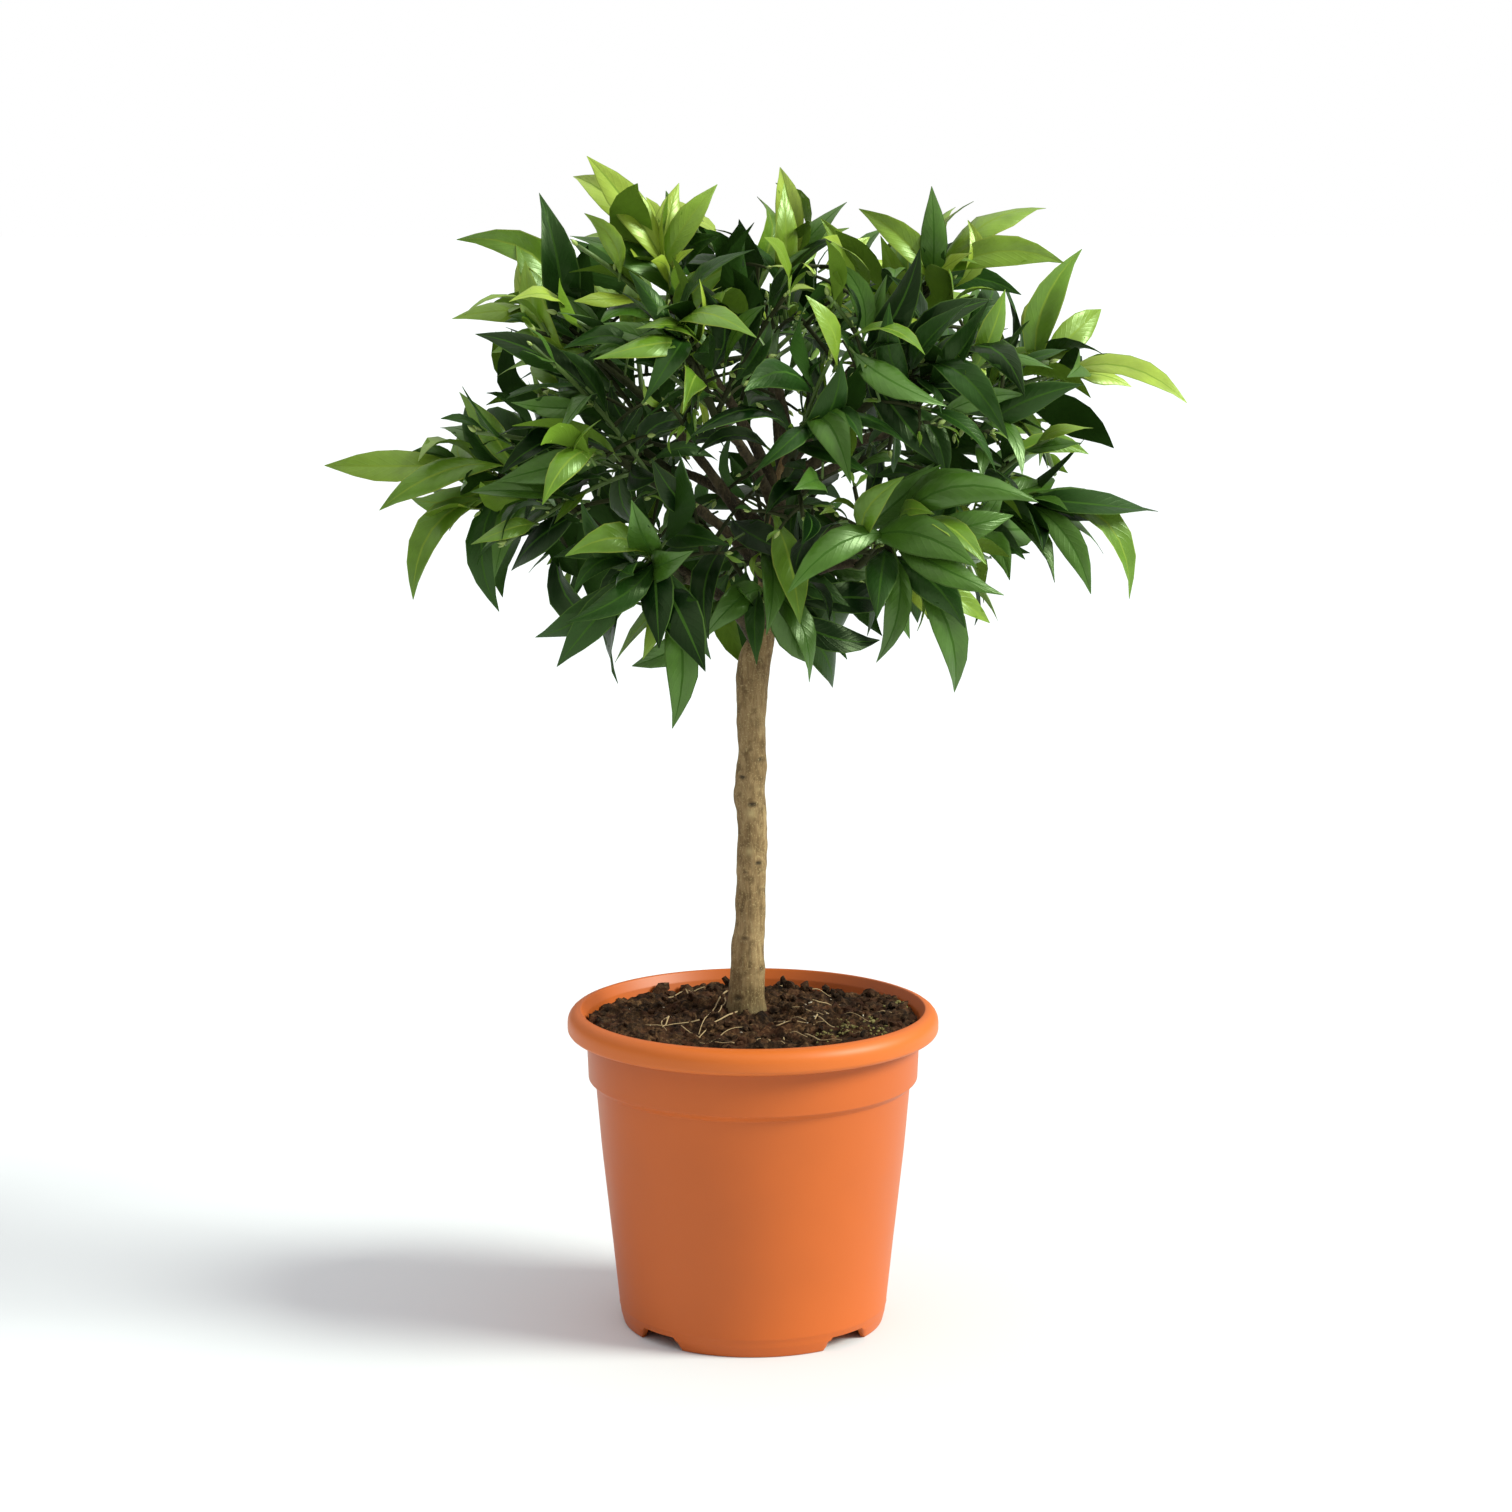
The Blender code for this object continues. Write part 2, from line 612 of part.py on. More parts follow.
def as_cutter(thing):
    """Marks an object as a cutter."""
    thing.hide_render = True
    thing.display_type = "WIRE"
    return thing


def make_mass(mass, wood, collection, material):
    """The solid of one mass: its stem, with its shoots and leaves joined to it by one union."""
    twigs, leaves = grow(mass, wood)
    pieces = bpy.data.collections.new(mass.name + "_pieces")
    bpy.context.scene.collection.children.link(pieces)
    stem = solid_object("foliage_" + mass.name, *twig_solid(twigs[0]), collection)
    for k, twig in enumerate(twigs[1:]):
        solid_object(f"{mass.name}_shoot_{k}", *twig_solid(twig), pieces)
    for k, leaf in enumerate(leaves):
        solid_object(f"{mass.name}_leaf_{k}", leaf_corners(leaf), LEAF_FACES, pieces)
    union = stem.modifiers.new("join", "BOOLEAN")
    union.operation = "UNION"
    union.operand_type = "COLLECTION"
    union.solver = "EXACT"
    union.collection = pieces
    evaluated = stem.evaluated_get(bpy.context.evaluated_depsgraph_get())
    joined = bpy.data.meshes.new_from_object(evaluated)
    stem.modifiers.clear()
    stem.data = joined
    for piece in list(pieces.objects):
        bpy.data.objects.remove(piece)
    bpy.data.collections.remove(pieces)
    keep_largest(joined)
    finish(stem, material, 30)
    return stem


def keep_largest(mesh):
    """Drops loose scraps and fills sealed hollows: of the islands of faces that share edges, only the
    largest stays."""
    work = bmesh.new()
    work.from_mesh(mesh)
    left = set(work.faces)
    islands = []
    while left:
        front = [left.pop()]
        island = set(front)
        while front:
            for edge in front.pop().edges:
                for face in edge.link_faces:
                    if face in left:
                        left.discard(face)
                        island.add(face)
                        front.append(face)
        islands.append(island)
    islands.sort(key=len, reverse=True)
    for island in islands[1:]:
        bmesh.ops.delete(work, geom=list(island), context="FACES")
    work.to_mesh(mesh)
    work.free()


# The pot, the soil and the wood

def pot_outside():
    """The pot's outside as (radius, height), from the rim's inner edge down to the floor's middle."""
    under = [(FOOT_INNER_RADIUS, 0.0), (FOOT_INNER_RADIUS, CHANNEL_HEIGHT), (CHANNEL_RADIUS, CHANNEL_HEIGHT),
             (CHANNEL_RADIUS, 0.0), (0.0, 0.0)]
    return POT_RIM + POT_RIM_HOLLOW + POT_BODY + under


def pot_inside(inset):
    """The pot's inside, from the floor's middle up to under the rim, moved inwards by inset."""
    wall = [(radius - POT_WALL - inset, height) for radius, height in POT_BODY[:-2]]
    wall = [(POT_RIM_HOLLOW[-1][0] - POT_WALL - inset, POT_RIM_HOLLOW[-1][1])] + wall
    floor = CHANNEL_HEIGHT + FLOOR_THICKNESS + inset
    corner = np.interp(floor, [point[1] for point in POT_BODY[::-1]], [point[0] for point in POT_BODY[::-1]])
    shoulder = CHANNEL_RADIUS - POT_WALL - inset
    base = [(corner - POT_WALL - inset, floor), (shoulder, floor), (shoulder, FLOOR_THICKNESS + inset),
            (0.0, FLOOR_THICKNESS + inset)]
    return (wall + base)[::-1]


def make_pot(collection, cutters, material):
    """The pot: a turned shell with a rolled rim hollow beneath, a collar, a step and a raised outer floor,
    with notches round its foot and drain holes in the raised floor."""
    throat = (POT_RIM_HOLLOW[-2][0] - POT_WALL - THROAT_IN, POT_RIM_HOLLOW[-2][1] + THROAT_UP)
    pot = turned("pot", pot_inside(0.0) + [throat] + pot_outside(), collection)
    for k in range(NOTCH_COUNT):
        notch = notch_cutter(math.tau * (k + 0.5) / NOTCH_COUNT, cutters)
        cut(pot, notch)
    for k in range(DRAIN_COUNT):
        turn = math.tau * k / DRAIN_COUNT
        bpy.ops.mesh.primitive_cylinder_add(vertices=DRAIN_SIDES, radius=DRAIN_RADIUS, depth=DRAIN_DEPTH)
        drain = bpy.context.object
        drain.name = f"drain_cutter_{k}"
        drain.location = (DRAIN_CIRCLE * math.cos(turn), DRAIN_CIRCLE * math.sin(turn), CHANNEL_HEIGHT)
        for owner in drain.users_collection:
            owner.objects.unlink(drain)
        cutters.objects.link(drain)
        cut(pot, as_cutter(drain))
    finish(pot, material, 40)
    return pot


def notch_cutter(turn, cutters):
    """A wedge with sloping ends that cuts one notch out of the foot ring."""
    inner, outer, low = FOOT_INNER_RADIUS - CUT_SPARE, RIM_RADIUS, -CUT_SPARE
    corners = []
    for radius in (inner, outer):
        for width, height in ((NOTCH_WIDTH_FOOT, low), (NOTCH_WIDTH_TOP, NOTCH_HEIGHT)):
            for side in (-0.5, 0.5):
                corners.append((radius, side * width, height))
    faces = [(0, 1, 3, 2), (4, 6, 7, 5), (0, 4, 5, 1), (2, 3, 7, 6), (0, 2, 6, 4), (1, 5, 7, 3)]
    notch = solid_object("notch_cutter", corners, faces, cutters)
    notch.rotation_euler.z = turn
    return as_cutter(notch)


def make_soil(collection, material):
    """The soil that fills the pot, low at the wall and level where the trunk stands in it."""
    side = pot_inside(CLEARANCE)[::-1]
    below = [point for point in side if point[1] < SOIL_TOP[-1][1]]
    soil = turned("soil", SOIL_TOP + below, collection)
    finish(soil, material, 40)
    return soil


def make_wood(collection, cutters, material):
    """The trunk, and the boughs cut clear of it."""
    line, radius = trunk_line()
    trunk = limb_object("trunk", line, radius, TRUNK_SIDES, collection)
    finish(trunk, material, 50)
    swollen = as_cutter(limb_object("trunk_cutter", line, radius + CLEARANCE, TRUNK_SIDES, cutters))
    for mass in MASSES:
        twig = bough_twig(mass)
        radii = np.linspace(twig.foot_radius, twig.tip_radius, BOUGH_STATIONS)
        bough = limb_object("bough_" + mass.name, twig.line, radii, BOUGH_SIDES, collection)
        cut(bough, swollen)
        finish(bough, material, 50)


def main():
    for thing in list(bpy.data.objects):
        bpy.data.objects.remove(thing)
    scene = bpy.context.scene
    parts = bpy.data.collections.new("potted_kumquat")
    cutters = bpy.data.collections.new("cutters")
    scene.collection.children.link(parts)
    scene.collection.children.link(cutters)
    make_pot(parts, cutters, principled("terracotta_plastic", (0.72, 0.19, 0.06), 0.42))
    make_soil(parts, principled("peat", (0.045, 0.028, 0.018), 0.95))
    make_wood(parts, cutters, principled("bark", (0.22, 0.15, 0.09), 0.85))
    leaf = principled("foliage", (0.045, 0.12, 0.02), 0.35)
    wood = wood_balls()
    for mass in MASSES:
        make_mass(mass, wood, parts, leaf)


main()
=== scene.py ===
"""The looks of a kumquat grown as a small standard tree in a terracotta-coloured nursery pot.

Metres, +Z up, the origin on the floor under the middle of the pot, and the front of the tree towards -Y.
The crown is grown again by the rule of the part's source and carried on to finer shoots. Every surface is
worked out as whole arrays: leaves are thin closed blades, wood is tubes with the bark's relief, the pot
is a turned profile, and the peat is a field of heights with its clods and fibres."""

import math
from typing import NamedTuple

import bpy
import numpy as np
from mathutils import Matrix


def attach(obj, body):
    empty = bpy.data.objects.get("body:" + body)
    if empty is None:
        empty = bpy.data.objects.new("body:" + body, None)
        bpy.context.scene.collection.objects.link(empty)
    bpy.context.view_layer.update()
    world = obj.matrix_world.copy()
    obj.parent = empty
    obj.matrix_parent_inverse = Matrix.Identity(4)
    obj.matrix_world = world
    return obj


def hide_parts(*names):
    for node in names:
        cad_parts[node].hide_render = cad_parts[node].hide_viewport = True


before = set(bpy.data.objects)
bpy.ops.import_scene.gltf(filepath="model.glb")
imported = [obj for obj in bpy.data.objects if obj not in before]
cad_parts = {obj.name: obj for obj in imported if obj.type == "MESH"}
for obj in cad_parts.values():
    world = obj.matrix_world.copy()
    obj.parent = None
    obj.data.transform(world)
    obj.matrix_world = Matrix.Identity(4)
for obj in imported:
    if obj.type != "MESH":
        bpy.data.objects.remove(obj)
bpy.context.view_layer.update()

# Whole tree
CLEARANCE = 0.0003
CROWN_CENTRE = np.array([0.008, 0.0, 0.505])
CROWN_REACH = np.array([0.188, 0.180, 0.137])
CROWN_SQUARENESS = 2.5

# Soil, as (radius, height) of its top from the trunk to the wall
SOIL_TOP = [(0.0, 0.1790), (0.0240, 0.1790), (0.0600, 0.1768), (0.0905, 0.1745)]

# Trunk, as (height, sideways place, radius) from the flat cut at the soil to the fork
TRUNK = [(0.1793, -0.0040, 0.0120), (0.1860, -0.0040, 0.0107), (0.2020, -0.0030, 0.0100),
         (0.2140, -0.0031, 0.0093), (0.2280, -0.0017, 0.0085), (0.2620, -0.0011, 0.0084),
         (0.2900, -0.0005, 0.0084), (0.3035, -0.0019, 0.0087), (0.3170, -0.0008, 0.0081),
         (0.3510, -0.0008, 0.0081), (0.3710, 0.0000, 0.0089), (0.3810, 0.0012, 0.0087),
         (0.3950, 0.0058, 0.0067), (0.4250, 0.0090, 0.0058), (0.4860, 0.0180, 0.0050),
         (0.5030, 0.0245, 0.0044)]

# Boughs and twigs
BOUGH_LIFT_SHARE = 0.10
BOUGH_FOOT_RADIUS = 0.0034
BOUGH_TIP_RADIUS = 0.0023
BOUGH_STATIONS = 5
STEM_RADIUS = 0.0025
STEM_TIP_RADIUS = 0.0021
SHOOT_RADIUS = 0.0013
SHOOT_TIP_RADIUS = 0.0012
STATIONS = 4
STEM_COLLAR = 0.003
STEM_LIFT = 0.003
STEM_BARE = 0.2
FOOT_SPREAD = (0.3, 0.7)
SHOOT_LIFT_SHARE = 0.05
SHOOT_TRIES = 5
TWIG_MARKS = 16
TWIG_ROOM = 0.0020
TIP_OVERLAP = 0.0012
LIMB_ROOM = 0.0025
BALL_STEP = 0.004

# Ends of the shoots
AIM_TRIES = 240
AIM_DRAWN_IN = np.array([0.85, 0.85, 1.0])
AIM_SPREAD = np.array([0.052, 0.052, 0.044])
AIM_INSET = 0.006
AIM_LIMIT = 0.93
AIM_FROM_HEART = 0.024
AIM_FROM_AXIS = 0.020

# Leaves
LEAF_LENGTH = (0.054, 0.078)
LEAF_WIDTH_SHARE = 0.35
LEAF_WIDTH_SPREAD = (0.88, 1.12)
LEAF_WIDEST = 0.46
LEAF_ARCH = (0.03, 0.13)
LEAF_THICKNESS = 0.0019
LEAF_SINK = 0.0009
LEAF_STEP = 0.0150
LEAVES_LEAST = 2
FIRST_LEAF = 0.97
BARE_FOOT = 0.6
LEAF_OPENING = 84.0
LEAF_CLOSING = 40.0
LEAF_SWAY = 12.0
LEAF_OUTWARD = 0.30
LEAF_RISE = 0.42
LEAF_DROOP = 0.10
LEAF_SKYWARD = 0.8
LEAF_TILT = 0.55
AGE_SPREAD = (0.25, 1.1)
TIP_YOUTH = 0.55
YOUTH_BY_HEIGHT = (0.6, 0.4)
YOUNG_LENGTH = 0.72
GOLDEN_TURN = math.radians(137.5)
GOLDEN_SHARE = 0.618
SIDEWAYS = np.array([0.31, 0.17, 0.94])
LOW_HEART = np.array([0.0, 0.0, 0.03])

# The leaves that reach furthest
LEADING_LENGTH = (0.062, 0.072)
LEADING_LEAST = 0.040
LEADING_ROOM = 0.006
LEADING_WIDTH_SHARE = 0.30
LEADING_DROOP = 0.10
LEADING_FACING = np.array([0.0, -0.8, 0.8])
LEADING_TILT = 0.3
LEADING_ARCH = (0.06, 0.12)
LEADING_AGE = (0.3, 0.8)
LEADING_LIMIT = 1.10

# Room that a leaf keeps, and how it is tried again
CROWN_LIMIT = 0.99
MARK_SHARES = (0.35, 0.55, 0.75, 0.95)
MARK_FULLNESS = 0.85
LEAF_ROOM = 0.0035
BLADE_START = 0.005
BLADE_ROOM = 0.0013
LEAF_TRIES = 9
TRY_TURN = 0.35
TRY_CLOSE = 0.10
TRY_SHORTEN = 0.07

# Finer growth, carried on from the source's shoots
FINE_SEED = 100
FINE_SHOOTS = 10
THIN_MASSES = {"left_low": 3, "left_upper": 5, "left_front": 5, "top_left": 7, "right_upper": 8}
FINE_TRIES = 160
FINE_SPREAD = np.array([0.050, 0.050, 0.044])
FINE_LIMIT = 0.72
FINE_LEAST = 0.012
FINE_RADIUS = 0.0011
FINE_TIP_RADIUS = 0.0008
FINE_LEAF_STEP = 0.0120
FINE_FIRST_LEAF = 0.99
FINE_BARE_FOOT = 0.4
FINE_LEAF_TRIES = 5
FINE_LEAF_SIZE = (0.95, 1.15)
FINE_LEAF_ROOM = 0.0018
FINE_LEAF_LIMIT = 0.86
FINE_LEAF_ROLL = 0.65
FOOT_SHARES = (0.35, 0.6, 0.85)
NEW_LEAVES = 3
NEW_LENGTH = (0.008, 0.018)
NEW_WIDTH_SHARE = 0.30
NEW_UPRIGHT = 0.9

# A leaf's blade: stations from root to tip, and places across, from one edge to the other
BLADE_STATIONS = np.array([0.0, 0.11, 0.165, 0.26, 0.38, 0.52, 0.66, 0.79, 0.90, 1.0])
ACROSS_UPPER = np.array([-1.0, -0.93, -0.5, -0.07, 0.07, 0.5, 0.93, 1.0])
ACROSS_UNDER = np.array([0.0])
PETIOLE_SHARE = 0.11
PETIOLE_HALF = 0.00080
TIP_HALF = 0.00018
BLADE_FULLNESS = 0.92
BLADE_TAPER = (0.86, 0.24)
BLADE_ARCH_GAIN = 2.1
BLADE_GAIN = (1.19, 0.93)
BLADE_LIMIT = 0.86
BLADE_BACK = 0.16
BLADE_FRONT = np.array([0.0, -0.50, 0.10])
FRONT_EDGE = 0.03
FRONT_EASE = 0.06
MIDRIB_DEPTH = 0.00055
MIDRIB_FADE = 0.6
BLADE_FOLD = (0.15, 0.85)
BLADE_ROLL = (0.20, 0.62)
BLADE_SICKLE = (-0.18, 0.18)
BLADE_TWIST = (-1.3, 1.3)
TWIST_PLACE = 0.35
BLADE_WAVE = (0.03, 0.17)
BLADE_WAVES = (1.2, 2.3)
WAVE_SHIFT = 1.7

# Tints of the leaves by age, from new to old. Leaves are tinted paler towards the crown's top, painted light,
# and towards its foot, and darker the deeper they lie inside the crown, painted shade; some masses are tinted
# lighter (above 0) or darker (below 0) as a whole
TINT_AGES = [-0.04, 0.10, 0.27, 0.50, 0.77]
TINT_TOP_LIGHT = 0.34
TINT_FOOT = 0.20
TINT_INNER_SHADE = 0.80
INNER_SHADE_LEVEL = 0.81
TINT_SPRAY = 0.24
SPRAY_CELL = 0.045
SPRAY_SEED = 5
MASS_TINT_SHIFTS = {"right_upper": 0.34, "right_low": 0.08, "top_left": 0.30, "top_mid": 0.14, "top_right": 0.14,
                "left_low": 0.12, "left_upper": 0.26, "front_middle": -0.20, "front_low": -0.10,
                "front_left_upper": -0.12, "front_right_upper": -0.12,
                "front_right_low": -0.06, "front_left_low": -0.20}

# Wood
BOUGH_COLLAR = 0.0016
BOUGH_COLLAR_LENGTH = 0.007
TWIG_STATIONS = 9
TWIG_ROUND = 8
TWIG_SWELL = 0.25
TWIG_SWELL_SHARE = 1.0 / 9.0
GREEN_LEVEL = 0.80
BARK_ROUND = 96
BARK_STATIONS = 330
BOUGH_ROUND = 18
BOUGH_RINGS = 60
BOUGH_RELIEF = 0.8

# Bark relief, as (cell, seed, height) of each noise
BARK_LAYERS = [(0.011, 11, 0.00050), (0.0050, 14, 0.00028), ((0.0009, 0.0009, 0.0030), 13, 0.00010)]
BARK_RIDGES = ((0.0024, 0.0024, 0.014), 12, 0.00022)
BARK_EASE = 0.002

# Knots on the trunk's front, as (sideways place, height, size, depth), and the pale marks, as (sideways
# place, height, size)
KNOT_SHAPE = np.array([1.25, 1.25, 0.7])
KNOT_LIP = 0.00045
KNOT_LIP_PLACE = 1.7
KNOT_LIP_WIDTH = 0.8
KNOT_DEPTH = 0.0005
KNOT_EYE = 0.95
KNOTS = [(0.0039, 0.3250, 0.0016, 0.8), (-0.0059, 0.3151, 0.0017, 0.9), (-0.0005, 0.2998, 0.0020, 1.0),
         (0.0032, 0.2662, 0.0017, 0.9), (-0.0047, 0.2613, 0.0012, 0.5), (-0.0048, 0.2232, 0.0016, 0.6),
         (0.0045, 0.2056, 0.0013, 0.8), (-0.0085, 0.1892, 0.0022, 0.7)]
PALE_MARKS = [(-0.0010, 0.2950, 0.0026), (0.0051, 0.2839, 0.0016), (0.0040, 0.3085, 0.0018),
              (-0.0020, 0.2730, 0.0022)]
PALE_STRENGTH = 0.8

# Buds in the leaf axils
BUD_LENGTH = (0.0035, 0.0070)
BUD_WIDTH_SHARE = 0.42
BUD_SHARE = 0.34
BUD_LEVEL = 0.62
BUD_ROUND = 7
BUD_STATIONS = 6
BUD_ENDS = (0.03, 0.985)
BUD_FULLNESS = 0.8
BUD_LEAN = 0.8
BUD_STRAY = 0.25
BUD_SEED = 71

# Pot, as (radius, height, fillet) from the floor's middle inside, over the rim and down to the foot
POT_STEPS = 360
POT_PROFILE = [
    (0.0, 0.0025, 0.0), (0.0462, 0.0025, 0.0008), (0.0462, 0.0110, 0.0008), (0.0745, 0.0110, 0.0015),
    (0.0781, 0.0450, 0.30), (0.0843, 0.1020, 0.60), (0.0873, 0.1387, 0.0020), (0.0914, 0.1424, 0.0020),
    (0.0924, 0.1680, 0.0040), (0.0944, 0.1765, 0.0040), (0.0974, 0.1819, 0.0011), (0.1050, 0.1819, 0.0074),
    (0.1050, 0.1681, 0.0030), (0.1013, 0.1681, 0.0008), (0.1016, 0.1760, 0.0010), (0.0966, 0.1760, 0.0016),
    (0.0942, 0.1650, 0.0300), (0.0933, 0.1424, 0.0014), (0.0892, 0.1388, 0.0016), (0.0861, 0.1020, 0.60),
    (0.0799, 0.0450, 0.30), (0.07642, 0.0112, 0.0), (0.07652, 0.0107, 0.0), (0.07632, 0.0102, 0.0),
    (0.0759, 0.0078, 0.0), (0.0757, 0.0060, 0.0040), (0.0741, 0.0, 0.0012), (0.0716, 0.0, 0.0006),
    (0.0716, 0.0085, 0.0008), (0.0480, 0.0085, 0.0008), (0.0480, 0.0, 0.0008), (0.0, 0.0, 0.0)]
NOTCH_COUNT = 4
NOTCH_HEIGHT = 0.0074
NOTCH_WIDTH_TOP = 0.024
NOTCH_WIDTH_FOOT = 0.034
NOTCH_ROOM = 0.0004
FOOT_RADIUS = 0.0750
FOOT_INSIDE = 0.0700
DRAIN_COUNT = 6
DRAIN_RADIUS = 0.0035
DRAIN_CIRCLE = 0.0600
DRAIN_SPAN = (0.004, 0.016)
DRAIN_SIDES = 24

# Peat
PEAT_STEPS = 400
PEAT_RINGS = 150
PEAT_SIDE = [(0.0930, 0.1690), (0.0906, 0.1600), (0.0906, 0.1432), (0.0868, 0.1392), (0.0840, 0.1020),
             (0.0778, 0.0450), (0.0740, 0.0115), (0.0458, 0.0115), (0.0458, 0.0030), (0.0, 0.0030)]
PEAT_SINK = 0.0012
CALM_REACH = 0.008
CALM_EASE = 0.006
CALM_LEAST = 0.25

# Its noises, as (cell, seed, height); the mound, as (sideways place, reach, ease, rise); and the bank, as
# (start, ease, rise)
PEAT_LAYERS = [(0.026, 21, 0.0030), (0.0036, 23, 0.0016), (0.0014, 24, 0.0008)]
PEAT_RIDGES = (0.0115, 22, 0.0054)
MOUND = (-0.004, 0.0165, 0.0075, 0.0030)
BANK = (0.055, 0.030, 0.0030)

# What lies on the peat, in mm where its places are listed, the fibres by both ends
PEAT_REACH = 0.0922
CLOD_COUNT = 420
CLOD_SIZE = (0.0010, 0.0055)
CLOD_SMALLNESS = 2.5
CLOD_RING = (0.014, 0.0910)
LUMP = [(-55.8, 74.4, 9.5), (-48.36, 72.54, 7.0), (-61.38, 65.1, 6.0)]
CRUMB_STATIONS = 6
CRUMB_ROUND = 7
CRUMB_ENDS = (0.06, 0.94)
CRUMB_LIE = (1.0, 1.0, 0.4)
CRUMB_STRETCH = (0.9, 2.2)
CRUMB_DENT = 0.55
CRUMB_CELL = 0.45
CRUMB_SEED = 31
CRUMB_SHIFT = 50.0
FIBRES = [(-15, 30, -30, -47), (-16, 12, -20, -21), (-48, -3, -48, -41), (-24, -56, -1, -30),
          (-9, -14, -36, -58), (-40, -34, -18, -62), (-30, -22, -60, -30), (8, -52, 30, -60),
          (12, -20, 34, -34), (40, -10, 66, -24)]
FIBRE_COUNT = 22
FIBRE_SEED = 41
FIBRE_RING = (0.016, 0.080)
FIBRE_HALF = (0.003, 0.014)
FIBRE_BOWS = [(0.08, 1.0), (0.02, 3.0)]
FIBRE_STATIONS = 16
FIBRE_ROUND = 6
FIBRE_CALM = 5
FIBRE_RADIUS = (0.00034, 0.00056)
FIBRE_TAPER = 0.6
FIBRE_LIFT = 0.0014
LITTER_REACH = 0.0905
LITTER_SEED = 43
MOSS_PLACES = [(56, -33), (64, -47), (85, 21), (48, -44), (70, -20), (40, -58)]
MOSS_COUNT = 20
MOSS_SPREAD = 0.0042
MOSS_SIZE = (0.0007, 0.0018)
SPECK_PLACES = [(45, 42), (16, 22), (62, -11), (20, -60), (-58, -20), (30, 2), (-2, -66)]
SPECK_COUNT = 26
SPECK_RING = (0.02, 0.085)
SPECK_SIZE = (0.0006, 0.0013)

# Colours of the leaves, from palest to darkest along a tint that carries painted light and shade as well as
# age, of their margins and midribs, of their undersides, and the gloss
LEAF_COLOURS = [("leaf_palest", (0.280, 0.380, 0.034)), ("leaf_light", (0.165, 0.270, 0.020)),
                ("leaf_light_mid", (0.106, 0.208, 0.013)), ("leaf_mid", (0.047, 0.119, 0.010)),
                ("leaf_dark", (0.014, 0.048, 0.006)), ("leaf_deep", (0.0028, 0.0150, 0.0020))]
RIB_COLOURS = [("margin_dark", (0.058, 0.115, 0.022)), ("margin_pale", (0.220, 0.300, 0.045)),
               ("midrib_dark", (0.042, 0.106, 0.014)), ("midrib_pale", (0.200, 0.300, 0.040))]
# Undersides are painted darker than the blades above them: painted shade, against the light that the floor
# throws up into the crown
UNDER_COLOURS = [("under_dark", (0.018, 0.052, 0.006)), ("under_pale", (0.120, 0.215, 0.018))]
GLOSS = {"Specular IOR Level": 0.80, "Specular Tint": (0.76, 1.0, 0.55, 1.0)}
DIM = {"Specular IOR Level": 0.40, "Specular Tint": (0.70, 1.0, 0.45, 1.0)}
SATIN = {"Specular IOR Level": 0.12, "Specular Tint": (0.72, 1.0, 0.50, 1.0)}
MATT = {"Specular IOR Level": 0.10}
PLASTIC_SHEEN = {"Specular IOR Level": 0.40}
BARK_SHEEN = {"Specular IOR Level": 0.25}
PEAT_SHEEN = {"Specular IOR Level": 0.12}
FLOOR_SHEEN = {"Specular IOR Level": 0.0, "Roughness": 0.9}
DIM_BELOW = 0.06
PALE_TINTS = 3
MARGIN_SLOT, MIDRIB_SLOT, UNDER_SLOT, PETIOLE_SLOT = 6, 8, 10, 12
VEIN_SLANT = 5.0
VEIN_COUNT = 13.0
VEIN_SHARPNESS = 5.0

# Colours of the bark, the pot and the peat
TRUNK_TONES = [(0.380, 0.260, 0.125), (0.250, 0.160, 0.070), (0.120, 0.072, 0.028), (0.520, 0.400, 0.190)]
# The boughs' bark has far darker tones than the trunk's: painted shade, as the boughs stand inside the crown
SHADED_BOUGH_TONES = [(0.090, 0.070, 0.034), (0.045, 0.034, 0.016), (0.020, 0.015, 0.007), (0.130, 0.105, 0.056)]
BARK_DRAW = 0.16
BARK_STREAKS = (420.0, 5.0, 0.62)
BARK_SPOTS = (70.0, 3.0)
BARK_SHARES = (0.60, 0.55)
BARK_STOPS = (0.40, 0.56, 0.72)
BARK_ROUGHNESS = (0.70, 0.95)
BARK_BUMP = (0.6, 0.0004)
CRACK_WIDTH = 0.05
CRACK_STRENGTH = 0.30
CRACK_DEPTH = -0.6
KNOT_COLOUR = (0.030, 0.022, 0.012)
DAMP_COLOUR = (0.050, 0.046, 0.018)
DAMP_LEVELS = (0.179, 0.200)
DAMP_STRENGTH = 1.1
POT_COLOUR = (0.552, 0.114, 0.013)
# The rim is painted paler than the body: painted light where the rim catches more light
RIM_LIGHT_COLOUR = (0.640, 0.144, 0.016)
RIM_LIGHT_REACH = (0.0965, 0.1020)
SCUFF_COLOUR = (0.80, 0.45, 0.28)
SCUFF_SCALE = 44.0
SCUFF_SIZE = (0.018, 0.040)
SCUFF_SHARE = 0.30
SCUFF_STRENGTH = 0.6
PEAT_TONES = [(0.005, 0.0022, 0.0010), (0.046, 0.022, 0.009), (0.170, 0.090, 0.038)]
CLOD_TONES = [(0.007, 0.003, 0.0015), (0.040, 0.020, 0.009), (0.150, 0.085, 0.040)]
PEAT_CRUMBS = (330.0, 8.0, 0.75)
PEAT_STOPS = (0.36, 0.52, 0.68)
PEAT_SHADES = (62.0, 3.0)
PEAT_SWING = (0.35, 0.65, 0.35, 1.45)
PEAT_ROUGHNESS = (0.95, 0.70)
PEAT_BUMP = (0.9, 0.0012)
RUST_COLOUR = (0.075, 0.026, 0.011)

# Patches on bark and peat, as (scale, detail, low, high, strength): they lie where the noise is above low
BLOTCHES = (190.0, 4.0, 0.52, 0.68, 0.65)
FLECKS = (900.0, 2.0, 0.58, 0.70, 0.6)
RUST = (95.0, 2.0, 0.50, 0.62, 0.45)

